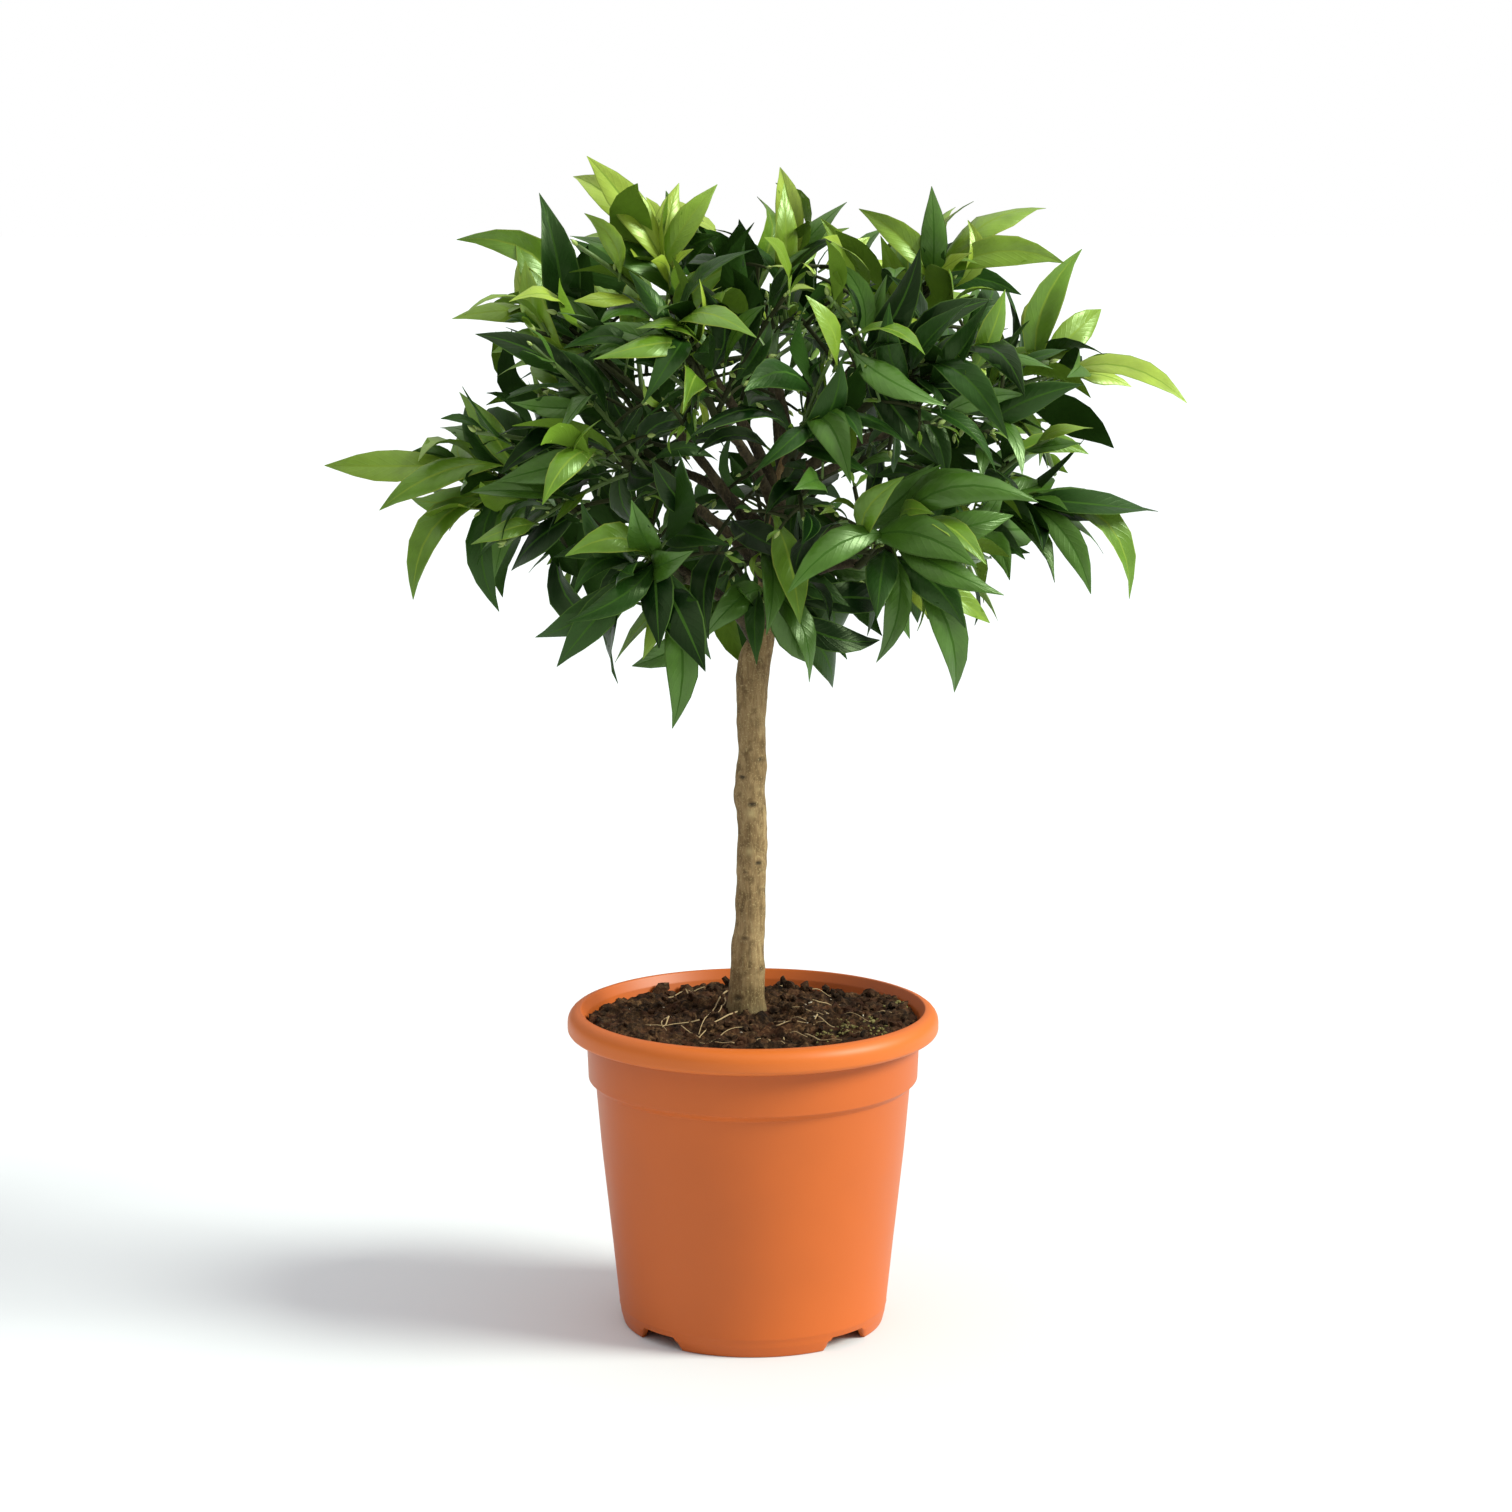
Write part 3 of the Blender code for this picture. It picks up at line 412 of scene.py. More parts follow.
# Looks of the mottled paints, and what their group is made of
LEAF_LOOK = {"roughness": 0.35, "scale": 70.0, "spread": 0.22, "bump": 0.25, "veins": 1.3}
RIB_LOOK = {"roughness": 0.45, "spread": 0.10, "settings": SATIN}
UNDER_LOOK = {"roughness": 0.55, "scale": 70.0, "spread": 0.12, "bump": 0.3, "veins": 1.2, "settings": SATIN}
PLAIN_LOOKS = {
    "petiole": {"colour": (0.090, 0.160, 0.022), "roughness": 0.50, "spread": 0.10},
    "stem_dark": {"colour": (0.030, 0.036, 0.012), "roughness": 0.70, "spread": 0.20, "settings": MATT},
    "shoot_green": {"colour": (0.085, 0.145, 0.026), "roughness": 0.50, "spread": 0.15},
    "bud_green": {"colour": (0.330, 0.430, 0.110), "roughness": 0.45, "spread": 0.10},
    "fibre": {"colour": (0.400, 0.280, 0.140), "roughness": 0.80, "spread": 0.20},
    "moss": {"colour": (0.170, 0.145, 0.038), "roughness": 0.80, "spread": 0.30},
    "speck": {"colour": (0.520, 0.450, 0.340), "roughness": 0.70, "spread": 0.10}}
PLASTIC_LOOK = {"roughness": 0.46, "scale": 14.0, "spread": 0.045, "grain": 900.0, "rough_spread": 0.16}
PLASTIC_BUMP = (0.08, 0.0001)
MOTTLING_NOISE = (3.0, 0.55)
MOTTLING_SWING = 4.0
GRAIN_DETAIL = 2.0
GRAIN_DEPTH = 0.0002

# Camera, light and floor
CAMERA_PLACE = (0.0017, -1.9713, 0.6536)
CAMERA_DOWN = 9.44
CAMERA_LENS = 85.0
CAMERA_SENSOR = 36.0
KEY_TOWARDS = (0.83, -0.20, 0.60)
KEY_STRENGTH = 3.9
KEY_SPREAD = 24.0
KEY_COLOUR = (0.96, 1.02, 0.92)
SKY_LOW = 0.12
SKY_RISE = 1.15
SKY_POWER = 1.2
SKY_SEEN = 1.0
FLOOR_SIZE = 60.0
FLOOR_COLOUR = (0.725, 0.742, 0.765)


class Mass(NamedTuple):
    """One mass of foliage: where its bough leaves the trunk, the bough's tip, the middle of its own
    space, the furthest leaf tips that show in the crown's outline, how many other shoots it has, and
    the seed of its growth."""

    name: str
    fork_height: float
    bough_tip: tuple
    heart: tuple
    reach: list
    shoots: int
    seed: int


MASSES = [
    Mass("left_low", 0.392, (-0.070, -0.012, 0.446), (-0.130, -0.018, 0.480),
         [(-0.233, -0.030, 0.491), (-0.202, -0.045, 0.468), (-0.184, -0.050, 0.420),
          (-0.160, -0.018, 0.530), (-0.139, -0.030, 0.411), (-0.173, 0.004, 0.509)], 2, 33),
    Mass("left_upper", 0.432, (-0.054, 0.002, 0.520), (-0.110, 0.004, 0.562),
         [(-0.162, 0.000, 0.612), (-0.163, -0.024, 0.570), (-0.144, 0.010, 0.550)], 3, 6),
    Mass("top_left", 0.470, (-0.026, -0.016, 0.544), (-0.048, -0.036, 0.590),
         [(-0.089, -0.030, 0.657), (-0.098, 0.000, 0.646), (-0.019, -0.034, 0.642)],
         3, 5),
    Mass("top_mid", 0.494, (0.010, 0.014, 0.550), (0.018, 0.024, 0.588),
         [(0.015, 0.034, 0.651), (0.052, 0.030, 0.632)], 4, 9),
    Mass("top_right", 0.500, (0.062, -0.010, 0.548), (0.096, -0.026, 0.582),
         [(0.096, -0.030, 0.641), (0.160, 0.000, 0.629), (0.057, -0.030, 0.629),
          (0.168, -0.030, 0.600)], 2, 3),
    Mass("right_upper", 0.478, (0.096, 0.002, 0.508), (0.160, 0.004, 0.530),
         [(0.180, 0.000, 0.607), (0.237, -0.018, 0.524), (0.216, -0.030, 0.508),
          (0.167, -0.066, 0.541)], 3, 14),
    Mass("right_low", 0.414, (0.082, -0.014, 0.450), (0.148, -0.026, 0.466),
         [(0.221, -0.030, 0.466), (0.206, -0.030, 0.418), (0.183, -0.050, 0.423)], 3, 21),
    Mass("front_right_low", 0.404, (0.056, -0.072, 0.442), (0.074, -0.102, 0.452),
         [(0.018, -0.138, 0.434), (0.130, -0.138, 0.433), (0.065, -0.110, 0.394),
          (0.107, -0.096, 0.376), (0.148, -0.126, 0.480)], 1, 3),
    Mass("front_left_low", 0.388, (-0.038, -0.074, 0.434), (-0.050, -0.104, 0.444),
         [(-0.115, -0.100, 0.406), (-0.103, -0.112, 0.392), (-0.097, -0.132, 0.418),
          (-0.042, -0.130, 0.362), (-0.022, -0.112, 0.396), (-0.040, -0.144, 0.500)], 1, 20),
    Mass("front_low", 0.398, (0.002, -0.036, 0.418), (0.004, -0.058, 0.420),
         [(0.002, -0.082, 0.389), (0.044, -0.024, 0.368)], 3, 17),
    Mass("front_middle", 0.450, (0.018, -0.060, 0.488), (0.026, -0.106, 0.512),
         [(-0.002, -0.150, 0.495), (0.056, -0.150, 0.512)], 4, 16),
    Mass("front_left_upper", 0.460, (-0.018, -0.054, 0.516), (-0.036, -0.092, 0.556),
         [(0.002, -0.152, 0.566), (-0.056, -0.142, 0.532), (-0.060, -0.096, 0.592)], 3, 30),
    Mass("front_right_upper", 0.488, (0.052, -0.048, 0.518), (0.086, -0.094, 0.542),
         [(0.131, -0.140, 0.514), (0.114, -0.128, 0.585)], 4, 40),
    Mass("left_front", 0.424, (-0.044, -0.040, 0.476), (-0.084, -0.078, 0.502), [], 5, 44),
    Mass("back_low", 0.406, (0.008, 0.050, 0.432), (0.008, 0.092, 0.430),
         [(0.054, 0.060, 0.372), (-0.080, 0.076, 0.368)], 4, 29),
    Mass("back_left", 0.446, (-0.046, 0.048, 0.482), (-0.082, 0.090, 0.498), [], 6, 26),
    Mass("back_right", 0.462, (0.060, 0.052, 0.486), (0.094, 0.092, 0.500), [], 6, 8),
    Mass("back_top", 0.480, (0.010, 0.056, 0.532), (0.006, 0.098, 0.566), [], 6, 28),
]


# Growth of the crown

class Twig(NamedTuple):
    """A tapering length of wood: its centre line and its radius at the foot and at the tip."""

    line: np.ndarray
    foot_radius: float
    tip_radius: float


class Leaf(NamedTuple):
    """A leaf by its chord: the root, the way to the tip, the side that faces up, and its sizes.
    arch is how far its middle stands off the chord, and age runs from 0, new, to 1, old."""

    root: np.ndarray
    along: np.ndarray
    up: np.ndarray
    length: float
    width: float
    arch: float
    age: float


def unit(vector):
    """The vector at length 1."""
    return vector / np.linalg.norm(vector)


def square_to(along, facing):
    """The unit vector nearest to facing that stands square to along."""
    return unit(facing - (facing @ along) * along)


def point_on(line, share):
    """The point at a share of a line's stations, from 0 at its foot to 1 at its tip."""
    stations = np.linspace(0.0, 1.0, len(line))
    return np.array([np.interp(share, stations, line[:, k]) for k in range(3)])


def bend(start, end, lift, count):
    """A parabola from start to end in count points, whose middle stands lift above the chord."""
    t = np.linspace(0.0, 1.0, count)[:, None]
    return start + (end - start) * t + np.array([0.0, 0.0, 4.0 * lift]) * t * (1.0 - t)


def trunk_line():
    """The trunk's centre line and its radius at each station."""
    height, side, radius = np.array(TRUNK).T
    return np.stack([side, np.zeros(len(side)), height], axis=1), radius


def bough_twig(mass):
    """The bough of a mass, from the trunk's axis to its tip, rising steeply first and then leaning out."""
    line, _ = trunk_line()
    foot = np.array([np.interp(mass.fork_height, line[:, 2], line[:, 0]), 0.0, mass.fork_height])
    tip = np.array(mass.bough_tip)
    rise = BOUGH_LIFT_SHARE * np.linalg.norm(tip[:2] - foot[:2])
    return Twig(bend(foot, tip, rise, BOUGH_STATIONS), BOUGH_FOOT_RADIUS, BOUGH_TIP_RADIUS)


def wood_balls():
    """The trunk and the boughs as close-set balls, (middles, radii), for leaves to keep clear of."""
    line, radius = trunk_line()
    runs = [(line, radius)]
    for mass in MASSES:
        bough = bough_twig(mass)
        runs.append((bough.line, np.linspace(bough.foot_radius, bough.tip_radius, BOUGH_STATIONS)))
    middles, radii = [], []
    for line, radius in runs:
        coarse = np.linspace(0.0, 1.0, len(line))
        fine = np.linspace(0.0, 1.0, int(np.linalg.norm(line[-1] - line[0]) / BALL_STEP) + 2)
        middles.append(np.stack([np.interp(fine, coarse, line[:, k]) for k in range(3)], axis=1))
        radii.append(np.interp(fine, coarse, radius))
    return np.concatenate(middles), np.concatenate(radii)


def own_space(mass):
    """The planes half-way between the heart of this mass and every other one: points p of its own space
    have normals @ p < offsets."""
    heart = np.array(mass.heart)
    others = np.array([other.heart for other in MASSES if other.name != mass.name])
    normals = others - heart
    normals /= np.linalg.norm(normals, axis=1)[:, None]
    offsets = np.einsum("ij,ij->i", normals, (others + heart) / 2.0) - CLEARANCE
    return normals, offsets


def crown_level(points):
    """How far points stand from the crown's middle, as a share of its rounded-box outline."""
    share = np.abs((points - CROWN_CENTRE) / CROWN_REACH) ** CROWN_SQUARENESS
    return share.sum(axis=-1) ** (1.0 / CROWN_SQUARENESS)


def leaf_side(leaf):
    """The leaf's sideways unit vector."""
    return np.cross(leaf.along, leaf.up)


def leaf_middle(leaf):
    """The point on the midrib where the leaf is widest."""
    return leaf.root + leaf.length * (LEAF_WIDEST * leaf.along + leaf.arch * leaf.up)


def leaf_corners(leaf):
    """Corners of the leaf's solid: the root, sunk in its twig, the two edges, the keel and the tip."""
    side = leaf_side(leaf) * leaf.width / 2.0
    middle = leaf_middle(leaf)
    keel = middle - leaf.up * LEAF_THICKNESS
    root = leaf.root - leaf.along * LEAF_SINK
    return np.array([root, middle + side, middle - side, keel, leaf.root + leaf.along * leaf.length])


def leaf_marks(leaf):
    """Points spread over the outer part of a leaf, for the room that it keeps from other leaves."""
    side = leaf_side(leaf)
    marks = []
    for share in MARK_SHARES:
        height = leaf.arch * 4.0 * share * (1.0 - share)
        middle = leaf.root + leaf.length * (share * leaf.along + height * leaf.up)
        half = 0.5 * leaf.width * math.sin(math.pi * share ** MARK_FULLNESS)
        marks += [middle, middle + side * half, middle - side * half]
    return np.array(marks)


def places_round(mass, rng, count, spread, space, limit):
    """Seeded places round a mass's heart, in its own space, inside the crown and off the trunk's axis."""
    normals, offsets = space
    tries = np.array(mass.heart) * AIM_DRAWN_IN + rng.normal(size=(count, 3)) * spread
    held = (tries @ normals.T < offsets - AIM_INSET).all(axis=1) & (crown_level(tries) < limit)
    return tries[held & (np.linalg.norm(tries[:, :2], axis=1) > AIM_FROM_AXIS)]


def aims_of(mass, rng, space):
    """Where the shoots of a mass end: first those that carry the furthest leaf tips, then seeded ones, each
    the candidate in the mass's own space that lies furthest from the earlier ones."""
    heart = np.array(mass.heart)
    chosen = [np.array(tip) for tip in mass.reach]
    aims = [(tip, True) for tip in chosen]
    for _ in range(mass.shoots):
        tries = places_round(mass, rng, AIM_TRIES, AIM_SPREAD, space, AIM_LIMIT)
        tries = tries[np.linalg.norm(tries - heart, axis=1) > AIM_FROM_HEART]
        if len(tries) == 0:
            continue
        apart = np.min([np.linalg.norm(tries - other, axis=1) for other in chosen + [heart]], axis=0)
        best = tries[np.argmax(apart)]
        chosen.append(best)
        aims.append((best, False))
    return aims


def leaf_at(root, tangent, turn, share, rng, tighten):
    """A leaf at a node of a shoot. It opens from the shoot by an angle that closes towards the shoot's tip,
    leans out from the crown's middle, and droops low in the crown and rises at its top."""
    side = unit(np.cross(tangent, SIDEWAYS))
    other = np.cross(tangent, side)
    opening = math.radians(LEAF_OPENING - LEAF_CLOSING * share + rng.uniform(-LEAF_SWAY, LEAF_SWAY))
    opening *= 1.0 - TRY_CLOSE * tighten
    along = math.cos(opening) * tangent
    along = along + math.sin(opening) * (math.cos(turn) * side + math.sin(turn) * other)
    outward = unit((root - CROWN_CENTRE + LOW_HEART) / CROWN_REACH)
    height = (root[2] - CROWN_CENTRE[2]) / CROWN_REACH[2]
    along = unit(along + LEAF_OUTWARD * outward + np.array([0.0, 0.0, LEAF_RISE * height - LEAF_DROOP]))
    facing = outward + np.array([0.0, 0.0, LEAF_SKYWARD]) + LEAF_TILT * rng.normal(size=3)
    up = square_to(along, facing)
    youth = TIP_YOUTH * share ** 3 * (YOUTH_BY_HEIGHT[0] + YOUTH_BY_HEIGHT[1] * height)
    age = float(np.clip(rng.uniform(*AGE_SPREAD) - youth, 0.0, 1.0))
    length = rng.uniform(*LEAF_LENGTH) * (YOUNG_LENGTH + (1.0 - YOUNG_LENGTH) * age)
    length *= 1.0 - TRY_SHORTEN * tighten
    width = length * LEAF_WIDTH_SHARE * rng.uniform(*LEAF_WIDTH_SPREAD)
    return Leaf(root, along, up, length, width, rng.uniform(*LEAF_ARCH), age)


def leading_leaf(heart, tip, rng):
    """The leaf at the end of a leading shoot, whose tip is one of the furthest of the crown."""
    longest = rng.uniform(*LEADING_LENGTH)
    length = float(np.clip(np.linalg.norm(tip - heart) - LEADING_ROOM, LEADING_LEAST, longest))
    along = unit(unit(tip - heart) - np.array([0.0, 0.0, LEADING_DROOP]))
    facing = LEADING_FACING + LEADING_TILT * rng.normal(size=3)
    up = square_to(along, facing)
    age = rng.uniform(*LEADING_AGE)
    width = length * LEADING_WIDTH_SHARE
    return Leaf(tip - along * length, along, up, length, width, rng.uniform(*LEADING_ARCH), age)


def blade_plates(leaf, lift):
    """The leaf's blade as four triangles round its middle, moved off it by lift. It starts a little way
    along from the root, so that the leaf's own shoot doesn't count as crossing it."""
    side = leaf_side(leaf)
    rise = leaf.up * lift
    middle = leaf_middle(leaf) + rise
    root = leaf.root + leaf.along * BLADE_START + rise
    tip = leaf.root + leaf.along * leaf.length + rise
    left, right = middle + side * leaf.width / 2.0, middle - side * leaf.width / 2.0
    return np.array([[root, left, middle], [root, middle, right], [left, tip, middle], [middle, tip, right]])


def plate_edges(plates):
    """The edges of triangles, as (start, end) pairs."""
    return np.concatenate([plates[:, [0, 1]], plates[:, [1, 2]], plates[:, [2, 0]]])


def crossing(edges, plates):
    """Whether any edge passes through any triangle: each pair is solved for the point where the edge meets
    the triangle's plane, and that point is tested against the triangle's sides."""
    start, way = edges[:, None, 0], edges[:, None, 1] - edges[:, None, 0]
    first = plates[None, :, 1] - plates[None, :, 0]
    second = plates[None, :, 2] - plates[None, :, 0]
    across = np.cross(way, second)
    scale = (first * across).sum(axis=2)
    scale = np.where(np.abs(scale) < 1e-15, 1e-15, scale)
    offset = start - plates[None, :, 0]
    u = (offset * across).sum(axis=2) / scale
    turned_offset = np.cross(offset, first)
    v = (way * turned_offset).sum(axis=2) / scale
    t = (second * turned_offset).sum(axis=2) / scale
    return bool(((u >= 0) & (v >= 0) & (u + v <= 1) & (t >= 0) & (t <= 1)).any())


def clear_of_wood(line, wood):
    """Whether a twig's line keeps its room from the trunk and every bough."""
    middles, radii = wood
    fine = np.linspace(0.0, 1.0, TWIG_MARKS)
    points = np.stack([point_on(line, share) for share in fine])
    return (np.linalg.norm(points[:, None] - middles[None], axis=2) - radii).min() > TWIG_ROOM


def shoots_of(mass, rng, space, wood):
    """The stem of a mass and its shoots: (twigs, runs), each run a shoot's line, whether it leads to one of
    the furthest leaf tips, and that last leaf. A shoot that would touch a limb tries other places on the
    stem, then is skipped."""
    bough = bough_twig(mass).line
    heart = np.array(mass.heart)
    onward = unit(bough[-1] - bough[-2])
    start = bough[-1] + onward * CLEARANCE
    stem = np.vstack([start, bend(start + onward * STEM_COLLAR, heart, STEM_LIFT, STATIONS - 1)])
    twigs = [Twig(stem, STEM_RADIUS, STEM_TIP_RADIUS)]
    runs = []
    for k, (aim, leading) in enumerate(aims_of(mass, rng, space)):
        place = (k + rng.uniform(*FOOT_SPREAD)) * GOLDEN_SHARE
        last = None
        end = aim
        if leading:
            last = leading_leaf(heart, aim, rng)
            end = last.root + last.along * TIP_OVERLAP
        for attempt in range(SHOOT_TRIES):
            share = (place + attempt * GOLDEN_SHARE) % 1.0
            foot = point_on(stem, STEM_BARE + (1.0 - STEM_BARE) * share)
            line = bend(foot, end, SHOOT_LIFT_SHARE * np.linalg.norm(end - foot), STATIONS)
            if clear_of_wood(line, wood):
                twigs.append(Twig(line, SHOOT_RADIUS, SHOOT_TIP_RADIUS))
                runs.append((line, leading, last))
                break
    return twigs, runs


class Room:
    """The space of a mass, with the twigs and leaves that it holds so far."""

    def __init__(self, mass, wood, twigs):
        self.space = own_space(mass)
        self.middles, self.radii = wood
        self.edges, self.leaves, self.marks, self.plates = [], [], [], []
        for twig in twigs:
            self.add_line(twig.line)
        self.leaf_room = LEAF_ROOM

    def add(self, leaf):
        """Takes a leaf in."""
        self.leaves.append(leaf)
        self.marks.append(leaf_marks(leaf))
        self.plates.append(blade_plates(leaf, 0.0))

    def add_line(self, line):
        """Takes a twig's line in."""
        self.edges.append(np.stack([line[:-1], line[1:]], axis=1))

    def fits(self, leaf, limit):
        """Whether a leaf stays in the space, clears the limbs and crosses no twig and no other leaf."""
        own = leaf_marks(leaf)
        points = np.concatenate([leaf_corners(leaf), own])
        normals, offsets = self.space
        if (points @ normals.T >= offsets).any() or crown_level(own).max() > limit:
            return False
        if (np.linalg.norm(points[:, None] - self.middles[None], axis=2) - self.radii).min() < LIMB_ROOM:
            return False
        layers = np.concatenate([blade_plates(leaf, lift) for lift in (-BLADE_ROOM, 0.0, BLADE_ROOM)])
        if crossing(np.concatenate(self.edges), layers):
            return False
        if not self.marks:
            return True
        if np.linalg.norm(own[:, None] - np.concatenate(self.marks)[None], axis=2).min() < self.leaf_room:
            return False
        others = np.concatenate(self.plates)
        return not (crossing(plate_edges(layers), others) or crossing(plate_edges(others), layers))

    def wind(self, line, shares, rng, tries, limit, size):
        """Leaves at shares of a shoot's line, winding round it by the golden angle. One that doesn't fit is
        turned a little and tried again, then skipped. With a size, (least, most), each is also scaled and
        rolled about its length."""
        tangent = unit(line[-1] - line[0])
        turn = rng.uniform(0.0, math.tau)
        for share in shares:
            turn += GOLDEN_TURN
            for attempt in range(tries):
                angle = turn + (attempt % 2 * 2 - 1) * attempt * TRY_TURN
                leaf = leaf_at(point_on(line, share), tangent, angle, share, rng, attempt)
                if size is not None:
                    scale = rng.uniform(*size)
                    roll = rng.normal(0.0, FINE_LEAF_ROLL)
                    up = math.cos(roll) * leaf.up + math.sin(roll) * leaf_side(leaf)
                    leaf = leaf._replace(up=up, length=leaf.length * scale, width=leaf.width * scale)
                if self.fits(leaf, limit):
                    self.add(leaf)
                    break


def grow(mass, wood):
    """The twigs and leaves of one mass as the part's source has them: (twigs, shoots' lines, room)."""
    rng = np.random.default_rng(mass.seed)
    twigs, runs = shoots_of(mass, rng, own_space(mass), wood)
    room = Room(mass, wood, twigs)
    for _, leading, last in runs:
        if leading and room.fits(last, math.inf):
            room.add(last)
    for line, leading, _ in runs:
        count = max(LEAVES_LEAST, round(np.linalg.norm(line[-1] - line[0]) / LEAF_STEP))
        shares = [FIRST_LEAF - k / (count + BARE_FOOT) for k in range(count)]
        room.wind(line, shares, rng, LEAF_TRIES, LEADING_LIMIT if leading else CROWN_LIMIT, None)
    return twigs, [line for line, _, _ in runs], room


def fine_shoots(mass, wood, twigs, room, rng):
    """Finer shoots: each aims at the emptiest of many places inside the mass's space, and leaves the
    nearest twig for it."""
    taken = np.concatenate(room.marks)
    fine = []
    for _ in range(THIN_MASSES.get(mass.name, FINE_SHOOTS)):
        tries = places_round(mass, rng, FINE_TRIES, FINE_SPREAD, room.space, FINE_LIMIT)
        if len(tries) == 0:
            continue
        aim = tries[np.argmax(np.linalg.norm(tries[:, None] - taken[None], axis=2).min(axis=1))]
        feet = np.array([point_on(twig.line, share) for twig in twigs for share in FOOT_SHARES])
        foot = feet[np.argmin(np.linalg.norm(feet - aim, axis=1))]
        length = np.linalg.norm(aim - foot)
        line = bend(foot, aim, SHOOT_LIFT_SHARE * length, STATIONS)
        if length > FINE_LEAST and clear_of_wood(line, wood):
            twigs.append(Twig(line, FINE_RADIUS, FINE_TIP_RADIUS))
            room.add_line(line)
            fine.append(line)
            taken = np.concatenate([taken, line[1:]])
    return fine


def fill_out(mass, wood, twigs, lines, room):
    """Carries a grown mass on: finer shoots with their leaves, then more leaves between the nodes of the
    source's shoots, and small new leaves at the ends of all."""
    rng = np.random.default_rng(FINE_SEED + mass.seed)
    room.leaf_room = FINE_LEAF_ROOM
    fine = fine_shoots(mass, wood, twigs, room, rng)
    for line in fine + lines:
        count = max(LEAVES_LEAST, round(np.linalg.norm(line[-1] - line[0]) / FINE_LEAF_STEP))
        shares = [FINE_FIRST_LEAF - k / (count + FINE_BARE_FOOT) for k in range(count)]
        room.wind(line, shares, rng, FINE_LEAF_TRIES, FINE_LEAF_LIMIT, FINE_LEAF_SIZE)
    for line in fine + lines:
        tangent = unit(line[-1] - line[-2])
        turn = rng.uniform(0.0, math.tau)
        for k in range(NEW_LEAVES):
            leaf = leaf_at(line[-1], tangent, turn + k * GOLDEN_TURN, 1.0, rng, 2)
            along = unit(leaf.along + NEW_UPRIGHT * tangent)
            up = square_to(along, leaf.up)
            length = rng.uniform(*NEW_LENGTH)
            leaf = leaf._replace(along=along, up=up, length=length, width=length * NEW_WIDTH_SHARE, age=0.0)
            if room.fits(leaf, FINE_LEAF_LIMIT):
                room.add(leaf)
    return fine


# Arrays and meshes

def unit_rows(vectors):
    """Every vector of an array at length 1."""
    return vectors / np.linalg.norm(vectors, axis=-1, keepdims=True)


LATTICE_VALUES = 4096
LATTICE_PRIMES = np.array([73856093, 19349663, 83492791])


def lumps(points, cell, seed):
    """Smooth noise from -1 to 1: seeded values at the corners of a lattice of the given cell, blended
    inside each cell by smoothsteps."""
    table = np.random.default_rng(seed).uniform(-1.0, 1.0, LATTICE_VALUES)
    grid = np.asarray(points) / np.asarray(cell)
    base = np.floor(grid).astype(np.int64)
    part = grid - base
    part = part * part * (3.0 - 2.0 * part)
    total = np.zeros(grid.shape[:-1])
    for corner in np.ndindex(2, 2, 2):
        x, y, z = np.moveaxis((base + corner) * LATTICE_PRIMES, -1, 0)
        value = table[(x ^ y ^ z) & (LATTICE_VALUES - 1)]
        total += value * np.where(corner, part, 1.0 - part).prod(axis=-1)
    return total


def eased(at, places, values):
    """A smooth run through values at places: a cubic between neighbours, with the mean slope at each."""
    places, values = np.asarray(places), np.asarray(values)
    slope = np.gradient(values, places)
    k = np.clip(np.searchsorted(places, at) - 1, 0, len(places) - 2)
    gap = places[k + 1] - places[k]
    t = (at - places[k]) / gap
    first = (2 * t ** 3 - 3 * t ** 2 + 1) * values[k] + (t ** 3 - 2 * t ** 2 + t) * gap * slope[k]
    return first + (3 * t ** 2 - 2 * t ** 3) * values[k + 1] + (t ** 3 - t ** 2) * gap * slope[k + 1]


def put(name, corners, blocks, paints, slots=None, uv=None, crease=180.0):
    """A piece from arrays: corners (n, 3), blocks of faces with one face's corner numbers a row, each
    face's place in the list of paints, and one (u, v) a corner. Edges sharper than crease stay edges."""
    mesh = bpy.data.meshes.new(name)
    sizes = np.concatenate([np.full(len(block), block.shape[1]) for block in blocks])
    loops = np.concatenate([block.ravel() for block in blocks]).astype(np.int32)
    mesh.vertices.add(len(corners))
    mesh.vertices.foreach_set("co", np.asarray(corners, dtype=np.float32).ravel())
    mesh.loops.add(len(loops))
    mesh.loops.foreach_set("vertex_index", loops)
    mesh.polygons.add(len(sizes))
    mesh.polygons.foreach_set("loop_start", np.concatenate([[0], np.cumsum(sizes)[:-1]]).astype(np.int32))
    for paint in paints:
        mesh.materials.append(paint)
    if slots is not None:
        mesh.polygons.foreach_set("material_index", np.asarray(slots, dtype=np.int32))
    mesh.update(calc_edges=True)
    if uv is not None:
        layer = mesh.uv_layers.new(name="UVMap")
        layer.data.foreach_set("uv", uv[loops].astype(np.float32).ravel())
    mesh.shade_smooth()
    mesh.set_sharp_from_angle(angle=math.radians(crease))
    piece = bpy.data.objects.new(name, mesh)
    bpy.context.scene.collection.objects.link(piece)
    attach(piece, "root")
    return piece


def tube_faces(count, rings, sides):
    """Faces of closed tubes whose corners run by tube, ring and side: (quads, end faces)."""
    tube, ring, side = np.meshgrid(np.arange(count), np.arange(rings - 1), np.arange(sides), indexing="ij")
    start = (tube * rings + ring) * sides
    one, two = start + side, start + (side + 1) % sides
    quads = np.stack([one, two, two + sides, one + sides], axis=-1).reshape(-1, 4)
    foot = np.arange(count)[:, None] * rings * sides + np.arange(sides)[::-1]
    top = (np.arange(count)[:, None] * rings + rings - 1) * sides + np.arange(sides)
    return quads, np.concatenate([foot, top])


